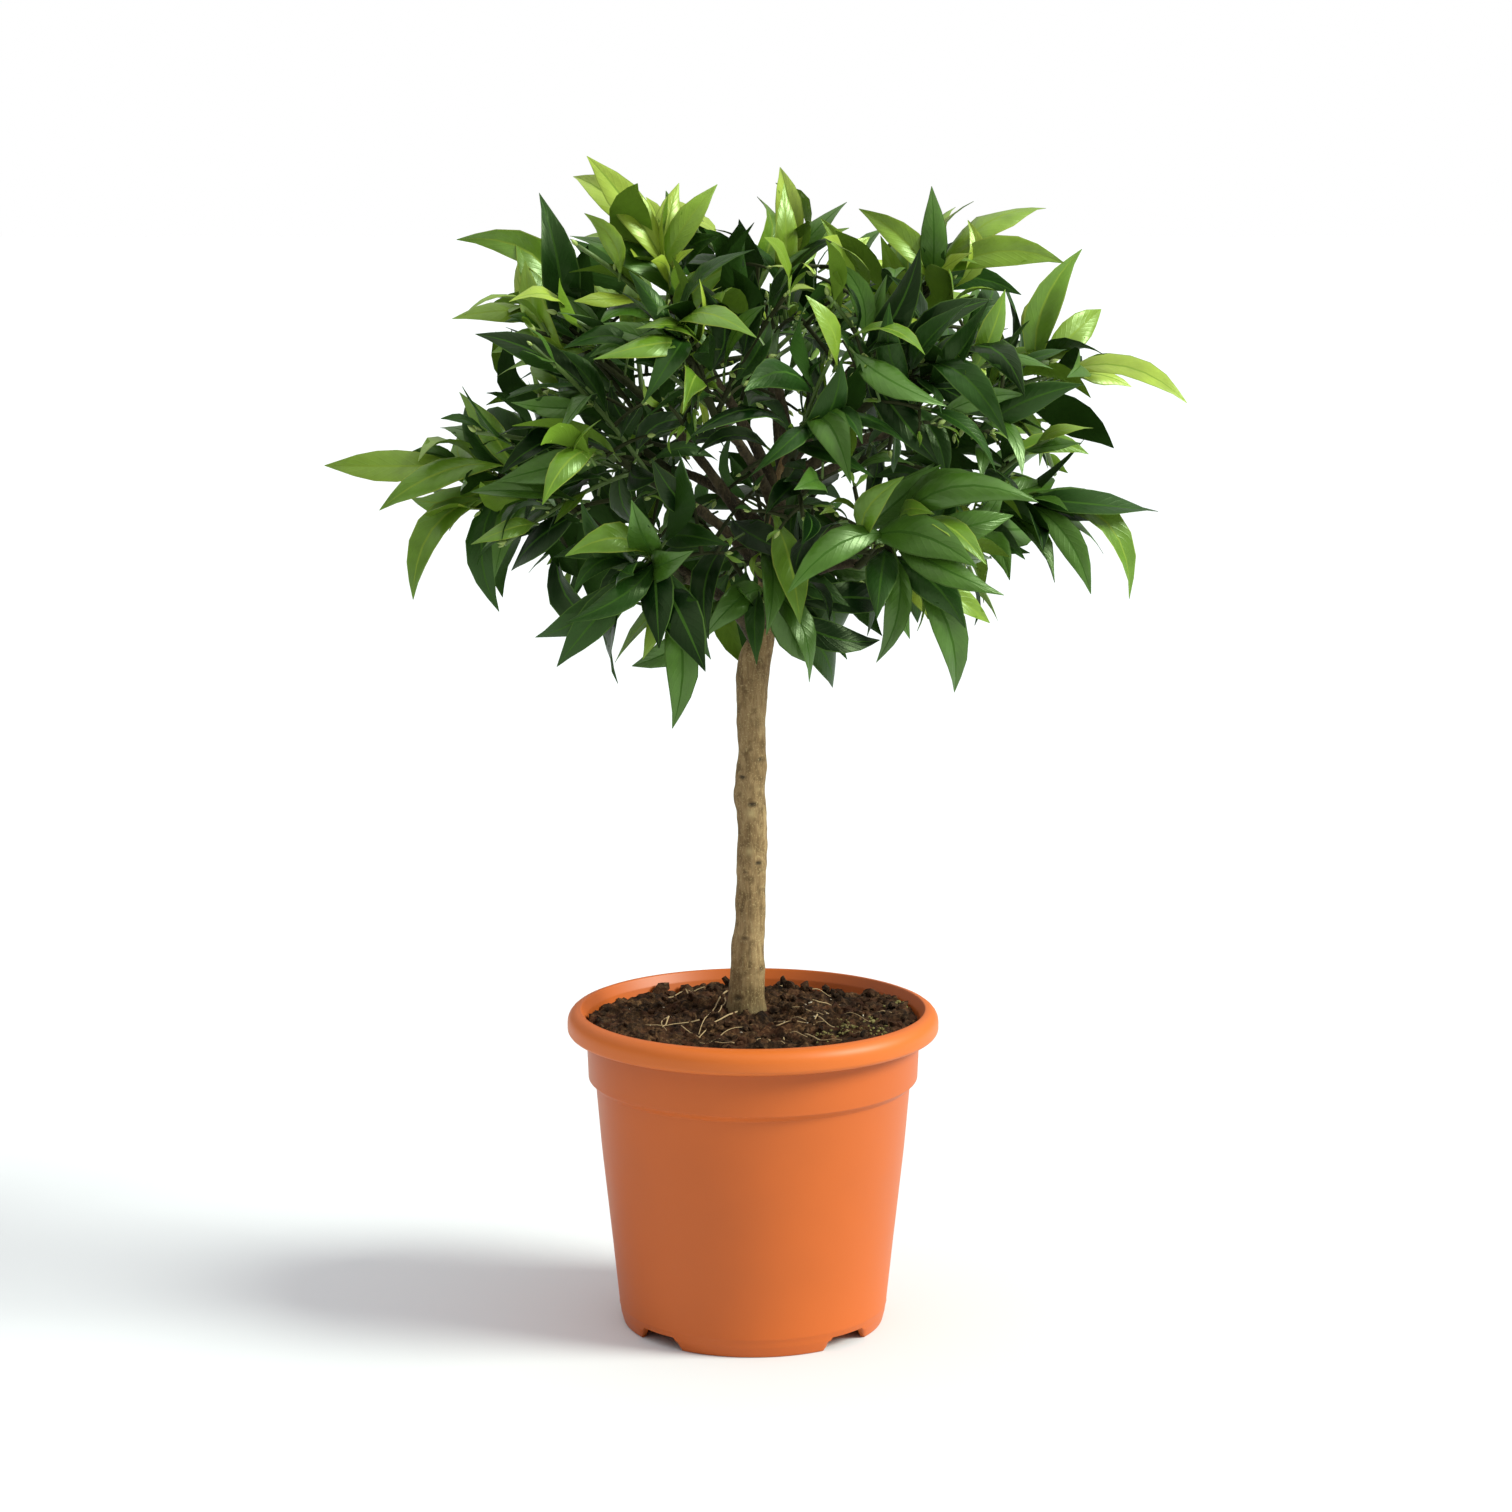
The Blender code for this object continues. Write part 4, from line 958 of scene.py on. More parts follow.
def tubes(lines, radii, sides):
    """Corners of round tubes along lines (n, k, 3) with radii (n, k): each is the line's point plus the
    radius times the cosine and sine of its turn, along two directions square to the line."""
    way = unit_rows(np.gradient(lines, axis=1))
    guide = np.eye(3)[np.argmin(np.abs(lines[:, -1] - lines[:, 0]), axis=1)][:, None]
    side = unit_rows(np.cross(way, guide))
    other = np.cross(way, side)
    turn = np.linspace(0.0, math.tau, sides, endpoint=False)[:, None]
    ring = side[:, :, None] * np.cos(turn) + other[:, :, None] * np.sin(turn)
    return lines[:, :, None] + radii[:, :, None, None] * ring


def put_tubes(name, corners, paints, slots=None, uv=None, crease=180.0):
    """A piece of closed tubes from their corners, (tube, ring, side, 3)."""
    blocks = tube_faces(*corners.shape[:3])
    return put(name, corners.reshape(-1, 3), blocks, paints, slots, uv, crease)


def refined(line, count):
    """A line of a few stations redrawn through count points of the polynomial that passes through them."""
    t = np.linspace(0.0, 1.0, len(line))
    fit = np.polyfit(t, line, len(line) - 1)
    return np.stack([np.polyval(fit[:, k], np.linspace(0.0, 1.0, count)) for k in range(3)], axis=1)


# Leaves, twigs and buds

def drawn_leaves(leaves):
    """The leaves as arrays, (root, along, up, length, width, arch). Those that stay well inside the crown
    are drawn longer and the others reach further back to their twig, all arch more than their solids, and
    those in the front half turn their faces a little to the front."""
    root, along, up, length, width, arch = (np.array([leaf[k] for leaf in leaves])[:, None] for k in range(6))
    tips = root[:, 0] + along[:, 0] * length * BLADE_GAIN[0]
    inside = (crown_level(tips) < BLADE_LIMIT)[:, None]
    root = root - (along[:, 0] * length * np.where(inside, 0.0, BLADE_BACK))[:, None]
    length = length * np.where(inside, BLADE_GAIN[0], 1.0 + BLADE_BACK)
    up = up + BLADE_FRONT * np.clip((FRONT_EDGE - root[..., 1:2]) / FRONT_EASE, 0.0, 1.0)
    up = unit_rows(up - (up * along).sum(axis=-1, keepdims=True) * along)
    return root, along, up, length, width * BLADE_GAIN[1], arch * BLADE_ARCH_GAIN


def blade_corners(leaves, rng):
    """Corners of a mass's leaves, (leaf, station, corner, 3). With s from 0 to 1 along a leaf, its midrib is
    the chord plus an arch and a sideways bow in 4 s (1 - s), and its upper side turns about it as s grows.
    The half-width is that of sin(pi t^a)^p, with t from 0 to 1 along the blade and p rising to the drawn-out
    tip. With u from -1 to 1 across, the upper side stands fold |u| - roll u^2 half-widths above the midrib,
    and its edge waves along s. The petiole's rings are round."""
    root, along, up, length, width, arch = drawn_leaves(leaves)
    spans = (BLADE_FOLD, BLADE_ROLL, BLADE_SICKLE, BLADE_TWIST, BLADE_WAVE, BLADE_WAVES, (0.0, math.tau))
    fold, roll, sickle, twist, wave, waves, phase = (rng.uniform(*span, (len(leaves), 1)) for span in spans)
    s = BLADE_STATIONS[None]
    side = np.cross(along, up)
    hump, slope = 4.0 * s * (1.0 - s), 4.0 - 8.0 * s
    line = s[..., None] * along + (arch * hump)[..., None] * up + (sickle * hump)[..., None] * side
    line = root + length[..., None] * line
    way = unit_rows(along + (arch * slope)[..., None] * up + (sickle * slope)[..., None] * side)
    turn = (twist * (s - TWIST_PLACE))[..., None]
    lift = np.cos(turn) * up + np.sin(turn) * side
    lift = unit_rows(lift - (lift * way).sum(axis=-1, keepdims=True) * way)
    cross = np.cross(way, lift)
    t = np.clip((s - PETIOLE_SHARE) / (1.0 - PETIOLE_SHARE), 0.0, 1.0)
    shape = np.sin(math.pi * t ** BLADE_FULLNESS) ** (BLADE_TAPER[0] + BLADE_TAPER[1] * t)
    half = np.maximum(width / 2.0 * shape, np.where(s > 0.5, TIP_HALF, PETIOLE_HALF))[..., None]
    u = np.concatenate([ACROSS_UPPER, ACROSS_UNDER])
    upper = np.arange(len(u)) < len(ACROSS_UPPER)
    fold, roll, wave, waves, phase = (each[..., None] for each in (fold, roll, wave, waves, phase))
    edge = wave * np.sin(math.tau * waves * s[..., None] + phase * np.where(u < 0.0, 1.0, WAVE_SHIFT))
    blade = half * (fold * np.abs(u) - roll * u ** 2 + edge * u ** 2)
    blade = np.where(upper, blade, -MIDRIB_DEPTH * (1.0 - MIDRIB_FADE * t[..., None]))
    round_side = PETIOLE_HALF * np.sqrt(1.0 - u ** 2) * np.where(upper, 1.0, -1.0)
    height = np.where(s[..., None] <= PETIOLE_SHARE, round_side, blade)
    return line[:, :, None] + (half * u)[..., None] * cross[:, :, None] + height[..., None] * lift[:, :, None]


def leaf_tints(mass, leaves):
    """The place of each leaf's tint, from 0, palest, to 5, darkest: by its age; by its height, paler towards
    the crown's top as painted light and towards its foot; by how deep it lies, darker inside as painted
    shade; by a shift for its mass; and by a slow noise that neighbours share."""
    age = np.array([leaf.age for leaf in leaves])
    roots = np.array([leaf.root for leaf in leaves])
    height = (roots[:, 2] - CROWN_CENTRE[2]) / CROWN_REACH[2]
    # Painted shade: above 0 for leaves deep inside the crown, which take darker tints
    inner = INNER_SHADE_LEVEL - crown_level(np.array([leaf_middle(leaf) for leaf in leaves]))
    # Paler towards the crown's top, painted light, and towards its foot
    lift = np.where(height > 0.0, TINT_TOP_LIGHT * height, -TINT_FOOT * height)
    tone = age - lift + TINT_INNER_SHADE * inner - MASS_TINT_SHIFTS.get(mass.name, 0.0)
    return np.searchsorted(TINT_AGES, tone + TINT_SPRAY * lumps(roots, SPRAY_CELL, SPRAY_SEED))


def make_leaves(mass, leaves, paints):
    """One piece with all the leaves of a mass, in place of its solid. Each strip along a blade has its own
    paint: margins, sides and midrib above, and two halves below; the first ring is the petiole."""
    corners = blade_corners(leaves, np.random.default_rng(mass.seed))
    count, rings = corners.shape[:2]
    tint = leaf_tints(mass, leaves)[:, None]
    # The paler tints, which carry painted light as well as youth, take the pale margins, midribs and
    # undersides
    fresh = (tint < PALE_TINTS).astype(int)
    margin, midrib, under = MARGIN_SLOT + fresh, MIDRIB_SLOT + fresh, UNDER_SLOT + fresh
    stalk = np.full_like(tint, PETIOLE_SLOT)
    strips = np.concatenate([margin, tint, tint, midrib, tint, tint, margin, under, under], axis=1)
    slots = np.repeat(strips[:, None], rings - 1, axis=1)
    slots[:, 0] = stalk
    slots = np.concatenate([slots.ravel(), stalk.ravel(), tint.ravel()])
    across = np.concatenate([ACROSS_UPPER, ACROSS_UNDER]) / 2.0 + 0.5
    uv = np.stack(np.meshgrid(across, BLADE_STATIONS), axis=-1).reshape(-1, 2)
    uv = np.tile(uv, (count, 1))
    piece = put_tubes("leaves_" + mass.name, corners, paints, slots, uv, crease=60.0)
    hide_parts("foliage_" + mass.name)


def make_twigs(twigs, paints):
    """Every stem and shoot as a round tapering tube, a little swollen at its foot. Those that end far out
    in the crown are green, the second paint, and the others dark, the first."""
    lines = np.array([refined(twig.line, TWIG_STATIONS) for twig in twigs])
    share = np.linspace(0.0, 1.0, TWIG_STATIONS)
    foot = np.array([twig.foot_radius for twig in twigs])[:, None]
    tip = np.array([twig.tip_radius for twig in twigs])[:, None]
    radii = foot * (1.0 + TWIG_SWELL * np.exp(-share / TWIG_SWELL_SHARE)) + (tip - foot) * share
    kind = (crown_level(lines[:, -1]) > GREEN_LEVEL).astype(int)
    slots = np.concatenate([np.repeat(kind, (TWIG_STATIONS - 1) * TWIG_ROUND), kind, kind])
    piece = put_tubes("twigs", tubes(lines, radii, TWIG_ROUND), paints, slots)


def make_buds(leaves, tips, paint):
    """A pointed bud in the axils of some of the outer leaves and at every shoot's tip. Its radius follows
    sin(pi t^0.8) from its foot to its point."""
    rng = np.random.default_rng(BUD_SEED)
    picked = [leaf for leaf in leaves if rng.random() < BUD_SHARE and crown_level(leaf.root) > BUD_LEVEL]
    foot = np.array([leaf.root for leaf in picked] + [line[-1] for line in tips])
    way = [leaf.along + BUD_LEAN * leaf.up for leaf in picked] + [unit(line[-1] - line[-2]) for line in tips]
    way = unit_rows(np.array(way) + BUD_STRAY * rng.normal(size=foot.shape))
    size = rng.uniform(*BUD_LENGTH, (len(foot), 1))
    t = np.linspace(*BUD_ENDS, BUD_STATIONS)
    lines = foot[:, None] + way[:, None] * (t * size)[..., None]
    radii = 0.5 * BUD_WIDTH_SHARE * size * np.sin(math.pi * t ** BUD_FULLNESS)
    piece = put_tubes("buds", tubes(lines, radii, BUD_ROUND), [paint])


# Trunk and boughs

def bark_relief(points, coarse):
    """How far bark stands out: two sizes of soft swellings and a fine grain, and long narrow ridges, where
    another noise is near 0. coarse scales it all."""
    relief = sum(height * lumps(points, np.array(cell) * coarse, seed) for cell, seed, height in BARK_LAYERS)
    cell, seed, height = BARK_RIDGES
    ridge = 1.0 - 2.0 * np.abs(lumps(points, np.array(cell) * coarse, seed))
    return (relief + height * ridge) * coarse


def make_trunk(paint):
    """The trunk: rings round its line, pushed out by the bark's relief, which dies out at the flat cut, with
    a hollow eye and a raised lip at each knot. Its attribute knot_eye is 1 in an eye and below 0 on the
    pale marks."""
    height, side, radius = np.array(TRUNK).T
    z = np.linspace(height[0], height[-1], BARK_STATIONS)
    line = np.stack([eased(z, height, side), np.zeros(len(z)), z], axis=1)
    round_radius = eased(z, height, radius)
    corners = tubes(line[None], round_radius[None], BARK_ROUND)[0]
    outward = unit_rows(corners - line[:, None])
    relief = bark_relief(corners, 1.0)
    eye = np.zeros(relief.shape)
    for x, at, size, depth in KNOTS:
        off_axis = x - np.interp(at, z, line[:, 0])
        depth_there = math.sqrt(max(0.0, np.interp(at, z, round_radius) ** 2 - off_axis ** 2))
        apart = np.linalg.norm((corners - np.array([x, -depth_there, at])) / (size * KNOT_SHAPE), axis=-1)
        relief += KNOT_LIP * np.exp(-((apart - KNOT_LIP_PLACE) / KNOT_LIP_WIDTH) ** 2)
        relief -= KNOT_DEPTH * depth * np.exp(-apart ** 2)
        eye = np.maximum(eye, depth * np.exp(-(apart * KNOT_EYE) ** 4))
    for x, at, size in PALE_MARKS:
        apart = np.linalg.norm((corners - np.array([x, -np.interp(at, z, round_radius), at])) / size, axis=-1)
        eye -= PALE_STRENGTH * np.exp(-apart ** 2)
    foot_ease = np.clip((z - z[0]) / BARK_EASE, 0.0, 1.0)[:, None, None]
    corners = corners + outward * (relief[..., None] * foot_ease)
    piece = put_tubes("trunk_bark", corners[None], [paint])
    shade = piece.data.attributes.new("knot_eye", "FLOAT", "POINT")
    shade.data.foreach_set("value", eye.ravel().astype(np.float32))
    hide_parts("trunk")


def make_boughs(paint):
    """All the boughs: tapering tubes from the trunk's axis, with a collar where each leaves the trunk."""
    boughs = [bough_twig(mass) for mass in MASSES]
    lines = np.array([refined(bough.line, BOUGH_RINGS) for bough in boughs])
    run = np.linalg.norm(lines - lines[:, :1], axis=-1)
    radii = np.linspace(BOUGH_FOOT_RADIUS, BOUGH_TIP_RADIUS, BOUGH_RINGS)
    radii = radii + BOUGH_COLLAR * np.exp(-run / BOUGH_COLLAR_LENGTH)
    corners = tubes(lines, radii, BOUGH_ROUND)
    outward = unit_rows(corners - lines[:, :, None])
    corners = corners + outward * bark_relief(corners, BOUGH_RELIEF)[..., None]
    piece = put_tubes("bough_bark", corners, [paint])
    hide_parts(*("bough_" + mass.name for mass in MASSES))


# Pot

def rounded(points, steps=7):
    """An outline with its corners rounded: each (radius, height, fillet) corner becomes an arc of that
    fillet, tangent to both its sides."""
    outline = []
    for k, (radius, height, fillet) in enumerate(points):
        corner = np.array((radius, height))
        if fillet == 0.0:
            outline.append(corner)
            continue
        back = unit(np.array(points[k - 1][:2]) - corner)
        onward = unit(np.array(points[k + 1][:2]) - corner)
        half = math.acos(np.clip(back @ onward, -1.0, 1.0)) / 2.0
        reach = fillet / math.tan(half)
        middle = corner + unit(back + onward) * fillet / math.sin(half)
        sweep = math.pi - 2.0 * half
        first, last = corner + back * reach - middle, corner + onward * reach - middle
        for t in np.linspace(0.0, 1.0, steps):
            outline.append(middle + (first * math.sin((1.0 - t) * sweep) + last * math.sin(t * sweep))
                           / math.sin(sweep))
    return np.array(outline)


def turned(outline, steps):
    """An outline turned about Z, from the axis back to the axis: (rings (k, steps, 3) without the two
    poles, faces). The poles are the last two corners."""
    turn = np.linspace(0.0, math.tau, steps, endpoint=False)
    radius, height = outline[1:-1, :1], outline[1:-1, 1:]
    rings = np.stack([radius * np.cos(turn), radius * np.sin(turn), height + 0.0 * turn], axis=-1)
    ring, side = np.meshgrid(np.arange(len(rings) - 1), np.arange(steps), indexing="ij")
    one, two = ring * steps + side, ring * steps + (side + 1) % steps
    quads = np.stack([one, one + steps, two + steps, two], axis=-1).reshape(-1, 4)
    step = np.arange(steps)
    following = (step + 1) % steps
    pole = len(rings) * steps
    last = pole - steps
    fan = np.stack([np.full(steps, pole), step, following], axis=-1)
    closing = np.stack([np.full(steps, pole + 1), last + following, last + step], axis=-1)
    return rings, [quads, np.concatenate([fan, closing])]


def with_poles(rings, first, last):
    """The corners of a turned shape: its rings, then its two poles on the axis."""
    return np.concatenate([rings.reshape(-1, 3), [(0.0, 0.0, first), (0.0, 0.0, last)]])


def make_pot(paint):
    """The pot: its profile turned, with the foot lifted at the notches to max(z, notch height), and the
    drain holes cut through the raised floor."""
    outline = rounded(POT_PROFILE)
    rings, blocks = turned(outline, POT_STEPS)
    turn = np.arctan2(rings[0, :, 1], rings[0, :, 0])
    notch = math.tau / NOTCH_COUNT
    from_middle = np.abs(turn % notch - notch / 2.0) * FOOT_RADIUS
    slope = (NOTCH_WIDTH_FOOT / 2.0 - from_middle) / ((NOTCH_WIDTH_FOOT - NOTCH_WIDTH_TOP) / 2.0)
    lifted = np.clip(slope, 0.0, 1.0) * NOTCH_HEIGHT
    outside = np.linalg.norm(rings[..., :2], axis=-1) > FOOT_INSIDE
    foot = outside & (rings[..., 2] < NOTCH_HEIGHT + NOTCH_ROOM)
    rings[..., 2] = np.where(foot, np.maximum(rings[..., 2], lifted[None]), rings[..., 2])
    piece = put("pot_shell", with_poles(rings, POT_PROFILE[0][1], 0.0), blocks, [paint], crease=50.0)
    drill(piece)
    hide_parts("pot")


def drill(piece):
    """Cuts the drain holes, round the raised floor."""
    turn = math.tau * np.arange(DRAIN_COUNT) / DRAIN_COUNT
    lines = np.zeros((DRAIN_COUNT, 2, 3))
    lines[..., 0] = DRAIN_CIRCLE * np.cos(turn)[:, None]
    lines[..., 1] = DRAIN_CIRCLE * np.sin(turn)[:, None]
    lines[..., 2] = DRAIN_SPAN
    corners = tubes(lines, np.full((DRAIN_COUNT, 2), DRAIN_RADIUS), DRAIN_SIDES).reshape(-1, 3)
    mesh = bpy.data.meshes.new("drill")
    quads, ends = tube_faces(DRAIN_COUNT, 2, DRAIN_SIDES)
    mesh.from_pydata(corners.tolist(), [], quads.tolist() + ends.tolist())
    cutter = bpy.data.objects.new("drill", mesh)
    bpy.context.scene.collection.objects.link(cutter)
    cut = piece.modifiers.new("drain holes", "BOOLEAN")
    cut.operation = "DIFFERENCE"
    cut.solver = "EXACT"
    cut.object = cutter
    bpy.context.view_layer.update()
    drilled = bpy.data.meshes.new_from_object(piece.evaluated_get(bpy.context.evaluated_depsgraph_get()))
    piece.modifiers.clear()
    piece.data = drilled
    bpy.data.objects.remove(cutter)


# Peat

def peat_height(x, y):
    """Height of the peat: its even surface; a low mound round the trunk's foot; a bank along the wall, high
    at the front and low at the back; and lumps of three sizes with the ridges between clods, calmer beside
    the trunk."""
    points = np.stack([x, y, np.zeros_like(x)], axis=-1)
    reach = np.hypot(x, y)
    even = np.interp(reach, *np.array(SOIL_TOP).T) - PEAT_SINK
    cell, seed, height = PEAT_RIDGES
    rough = height * (0.5 - np.abs(lumps(points, cell, seed)))
    rough = rough + sum(height * lumps(points, cell, seed) for cell, seed, height in PEAT_LAYERS)
    calm = np.clip((reach - CALM_REACH) / CALM_EASE, CALM_LEAST, 1.0)
    place, foot, ease, rise = MOUND
    mound = rise * np.exp(-((np.hypot(x - place, y) - foot) / ease) ** 2)
    start, ease, rise = BANK
    back = np.clip(y / (reach + 1e-6), 0.0, 1.0)
    bank = rise * np.clip((reach - start) / ease, 0.0, 1.0) * (1.0 - 2.0 * back)
    return even + mound + bank + rough * calm


def make_peat(paint):
    """The peat's body: its rough top, its side along the wall of the pot, and its base."""
    top = [(radius, 0.0) for radius in np.linspace(0.0, PEAT_SIDE[0][0], PEAT_RINGS)]
    rings, blocks = turned(np.array(top + PEAT_SIDE), PEAT_STEPS)
    surface = rings[:PEAT_RINGS - 1]
    surface[..., 2] = peat_height(surface[..., 0], surface[..., 1])
    centre = float(peat_height(np.zeros(1), np.zeros(1))[0])
    piece = put("peat_body", with_poles(rings, centre, PEAT_SIDE[-1][1]), blocks, [paint], crease=80.0)
    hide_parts("soil")


def scattered(rng, count, inner, outer):
    """Places spread evenly over a ring of the peat, (count, 2)."""
    radius = np.sqrt(rng.uniform(inner ** 2, outer ** 2, count))
    turn = rng.uniform(0.0, math.tau, count)
    return np.stack([radius * np.cos(turn), radius * np.sin(turn)], axis=-1)


def crumbs(name, places, sizes, paint, rng, sunk=0.25):
    """Small lumps lying on the peat, inside the pot's wall: short tubes whose radius follows a half circle,
    dented by noise."""
    t = np.linspace(*CRUMB_ENDS, CRUMB_STATIONS)
    way = unit_rows(rng.normal(size=(len(places), 3)) * CRUMB_LIE)
    height = peat_height(places[:, 0], places[:, 1]) + sizes * (0.5 - sunk)
    middle = np.concatenate([places, height[:, None]], axis=1)
    stretch = rng.uniform(*CRUMB_STRETCH, len(places))
    lines = middle[:, None] + way[:, None] * ((t - 0.5) * (sizes * stretch)[:, None])[..., None]
    radii = sizes[:, None] * 0.5 * np.sqrt(1.0 - (2.0 * t - 1.0) ** 2)
    corners = tubes(lines, radii, CRUMB_ROUND)
    own = corners / sizes[:, None, None, None] + rng.uniform(0.0, CRUMB_SHIFT, (len(places), 1, 1, 3))
    dent = 1.0 + CRUMB_DENT * lumps(own, CRUMB_CELL, CRUMB_SEED)
    corners = middle[:, None, None] + (corners - middle[:, None, None]) * dent[..., None]
    reach = np.linalg.norm(corners[..., :2], axis=-1, keepdims=True)
    corners[..., :2] *= np.minimum(1.0, PEAT_REACH / reach)
    piece = put_tubes(name, corners, [paint], crease=32.0)


def make_fibres(paint):
    """Pale root fibres: those that show, and others strewn between, each a thin tube that follows the peat
    with a sideways wander."""
    rng = np.random.default_rng(FIBRE_SEED)
    ends = np.array(FIBRES) / 1000.0
    middles = scattered(rng, FIBRE_COUNT, *FIBRE_RING)
    turn = rng.uniform(0.0, math.tau, FIBRE_COUNT)
    half = rng.uniform(*FIBRE_HALF, FIBRE_COUNT)[:, None] * np.stack([np.cos(turn), np.sin(turn)], axis=-1)
    ends = np.concatenate([ends, np.concatenate([middles - half, middles + half], axis=1)])
    t = np.linspace(0.0, 1.0, FIBRE_STATIONS)[None, :, None]
    flat = ends[:, None, :2] * (1.0 - t) + ends[:, None, 2:] * t
    square = np.stack([ends[:, 1] - ends[:, 3], ends[:, 2] - ends[:, 0]], axis=-1)[:, None]
    for bow, waves in FIBRE_BOWS:
        flat = flat + square * rng.uniform(-bow, bow, (len(ends), 1, 1)) * np.sin(waves * math.pi * t)
    flat = flat * np.minimum(1.0, LITTER_REACH / np.linalg.norm(flat, axis=-1, keepdims=True))
    height = peat_height(flat[..., 0], flat[..., 1])
    kernel = np.ones(FIBRE_CALM) / FIBRE_CALM
    padded = np.pad(height, ((0, 0), (FIBRE_CALM // 2, FIBRE_CALM // 2)), mode="edge")
    height = np.stack([np.convolve(row, kernel, "valid") for row in padded]) + FIBRE_LIFT
    lines = np.concatenate([flat, height[..., None]], axis=-1)
    radii = rng.uniform(*FIBRE_RADIUS, (len(lines), 1)) * (1.0 - FIBRE_TAPER * t[..., 0])
    piece = put_tubes("peat_fibres", tubes(lines, radii, FIBRE_ROUND), [paint])


def make_litter(clod_paint, moss_paint, speck_paint):
    """Clods, most of them small, the dark lump at the back, patches of moss and pale specks on the peat."""
    rng = np.random.default_rng(LITTER_SEED)
    places = scattered(rng, CLOD_COUNT, *CLOD_RING)
    sizes = CLOD_SIZE[0] + (CLOD_SIZE[1] - CLOD_SIZE[0]) * rng.random(CLOD_COUNT) ** CLOD_SMALLNESS
    crumbs("peat_clods", places, sizes, clod_paint, rng)
    lump = np.array(LUMP) / 1000.0
    crumbs("peat_lump", lump[:, :2], lump[:, 2], clod_paint, rng, sunk=0.3)
    near = np.repeat(np.array(MOSS_PLACES) / 1000.0, MOSS_COUNT, axis=0)
    near = near + rng.normal(size=near.shape) * MOSS_SPREAD
    near = near[np.linalg.norm(near, axis=1) < LITTER_REACH]
    crumbs("moss_bits", near, rng.uniform(*MOSS_SIZE, len(near)), moss_paint, rng)
    specks = np.concatenate([np.array(SPECK_PLACES) / 1000.0, scattered(rng, SPECK_COUNT, *SPECK_RING)])
    sizes = rng.uniform(*SPECK_SIZE, len(specks))
    crumbs("pale_specks", specks, sizes, speck_paint, rng, sunk=0.1)


# Paints

def node(tree, kind, inputs=None, **settings):
    """Adds a node with its settings; an input takes a value or another node's output."""
    made = tree.nodes.new(kind)
    for key, value in settings.items():
        setattr(made, key, value)
    for key, value in (inputs or {}).items():
        if isinstance(value, bpy.types.NodeSocket):
            tree.links.new(value, made.inputs[key])
        else:
            made.inputs[key].default_value = value
    return made


def maths(tree, operation, *values):
    """The output of a Math node."""
    return node(tree, "ShaderNodeMath", dict(enumerate(values)), operation=operation).outputs[0]


def noise(tree, place, scale, detail, roughness=0.5):
    """The value of a noise at a place."""
    inputs = {"Vector": place, "Scale": scale, "Detail": detail, "Roughness": roughness}
    return node(tree, "ShaderNodeTexNoise", inputs).outputs["Fac"]


def between(tree, value, low, high, first, last):
    """A value's way from low to high as a way from first to last, and no further."""
    inputs = {"Value": value, "From Min": low, "From Max": high, "To Min": first, "To Max": last}
    return node(tree, "ShaderNodeMapRange", inputs).outputs[0]


def patches(tree, place, scale, detail, low, high, strength):
    """How much patches cover a place: none where a noise is below low, and strength above high."""
    return between(tree, noise(tree, place, scale, detail), low, high, 0.0, strength)


def mixed(tree, factor, under, over):
    """A colour with a fixed one laid over it by a factor."""
    inputs = {"Factor": factor, "A": under, "B": (*over, 1.0)}
    return node(tree, "ShaderNodeMix", inputs, data_type="RGBA").outputs["Result"]


def three_tones(tree, value, places, tones):
    """A ramp with a tone at each of three places."""
    ramp = node(tree, "ShaderNodeValToRGB", {"Fac": value})
    stops = ramp.color_ramp.elements
    stops.new(places[1])
    for stop, place, tone in zip(stops, places, tones):
        stop.position = place
        stop.color = (*tone, 1.0)
    return ramp.outputs["Color"]


def new_group(name, ins, outs):
    """A shader node group with named sockets: (tree, its inputs, its outputs' node)."""
    tree = bpy.data.node_groups.new(name, "ShaderNodeTree")
    for way, sockets in (("INPUT", ins), ("OUTPUT", outs)):
        for label, kind in sockets:
            tree.interface.new_socket(label, in_out=way, socket_type="NodeSocket" + kind)
    return tree, tree.nodes.new("NodeGroupInput").outputs, tree.nodes.new("NodeGroupOutput")


def mottling_group():
    """Slow and quick noise that vary a colour's value, and give a roughness and a height."""
    tree, ins, outs = new_group(
        "mottling",
        [("Vector", "Vector"), ("Colour", "Color"), ("Scale", "Float"), ("Spread", "Float"),
         ("Grain Scale", "Float"), ("Roughness", "Float"), ("Roughness Spread", "Float")],
        [("Colour", "Color"), ("Roughness", "Float"), ("Height", "Float")])
    swing = maths(tree, "SUBTRACT", noise(tree, ins["Vector"], ins["Scale"], *MOTTLING_NOISE), 0.5)
    wide = maths(tree, "MULTIPLY", ins["Spread"], MOTTLING_SWING)
    value = maths(tree, "MULTIPLY_ADD", swing, wide, 1.0)
    tinted = node(tree, "ShaderNodeHueSaturation", {"Color": ins["Colour"], "Value": value})
    rough = maths(tree, "MULTIPLY_ADD", swing, ins["Roughness Spread"], ins["Roughness"])
    tree.links.new(tinted.outputs["Color"], outs.inputs["Colour"])
    tree.links.new(rough, outs.inputs["Roughness"])
    tree.links.new(noise(tree, ins["Vector"], ins["Grain Scale"], GRAIN_DETAIL), outs.inputs["Height"])
    return tree


def vein_group():
    """A leaf's side veins, from its own (u, v): fine lines that leave the midrib at a slant."""
    tree, ins, outs = new_group("leaf_veins", [("UV", "Vector")], [("Height", "Float")])
    parts = node(tree, "ShaderNodeSeparateXYZ", {"Vector": ins["UV"]}).outputs
    aside = maths(tree, "ABSOLUTE", maths(tree, "SUBTRACT", parts["X"], 0.5))
    climb = maths(tree, "MULTIPLY", aside, VEIN_SLANT)
    along = maths(tree, "MULTIPLY", parts["Y"], VEIN_COUNT)
    wave = maths(tree, "FRACT", maths(tree, "SUBTRACT", along, climb))
    ridge = maths(tree, "ABSOLUTE", maths(tree, "MULTIPLY_ADD", wave, 2.0, -1.0))
    tree.links.new(maths(tree, "POWER", ridge, VEIN_SHARPNESS), outs.inputs["Height"])
    return tree


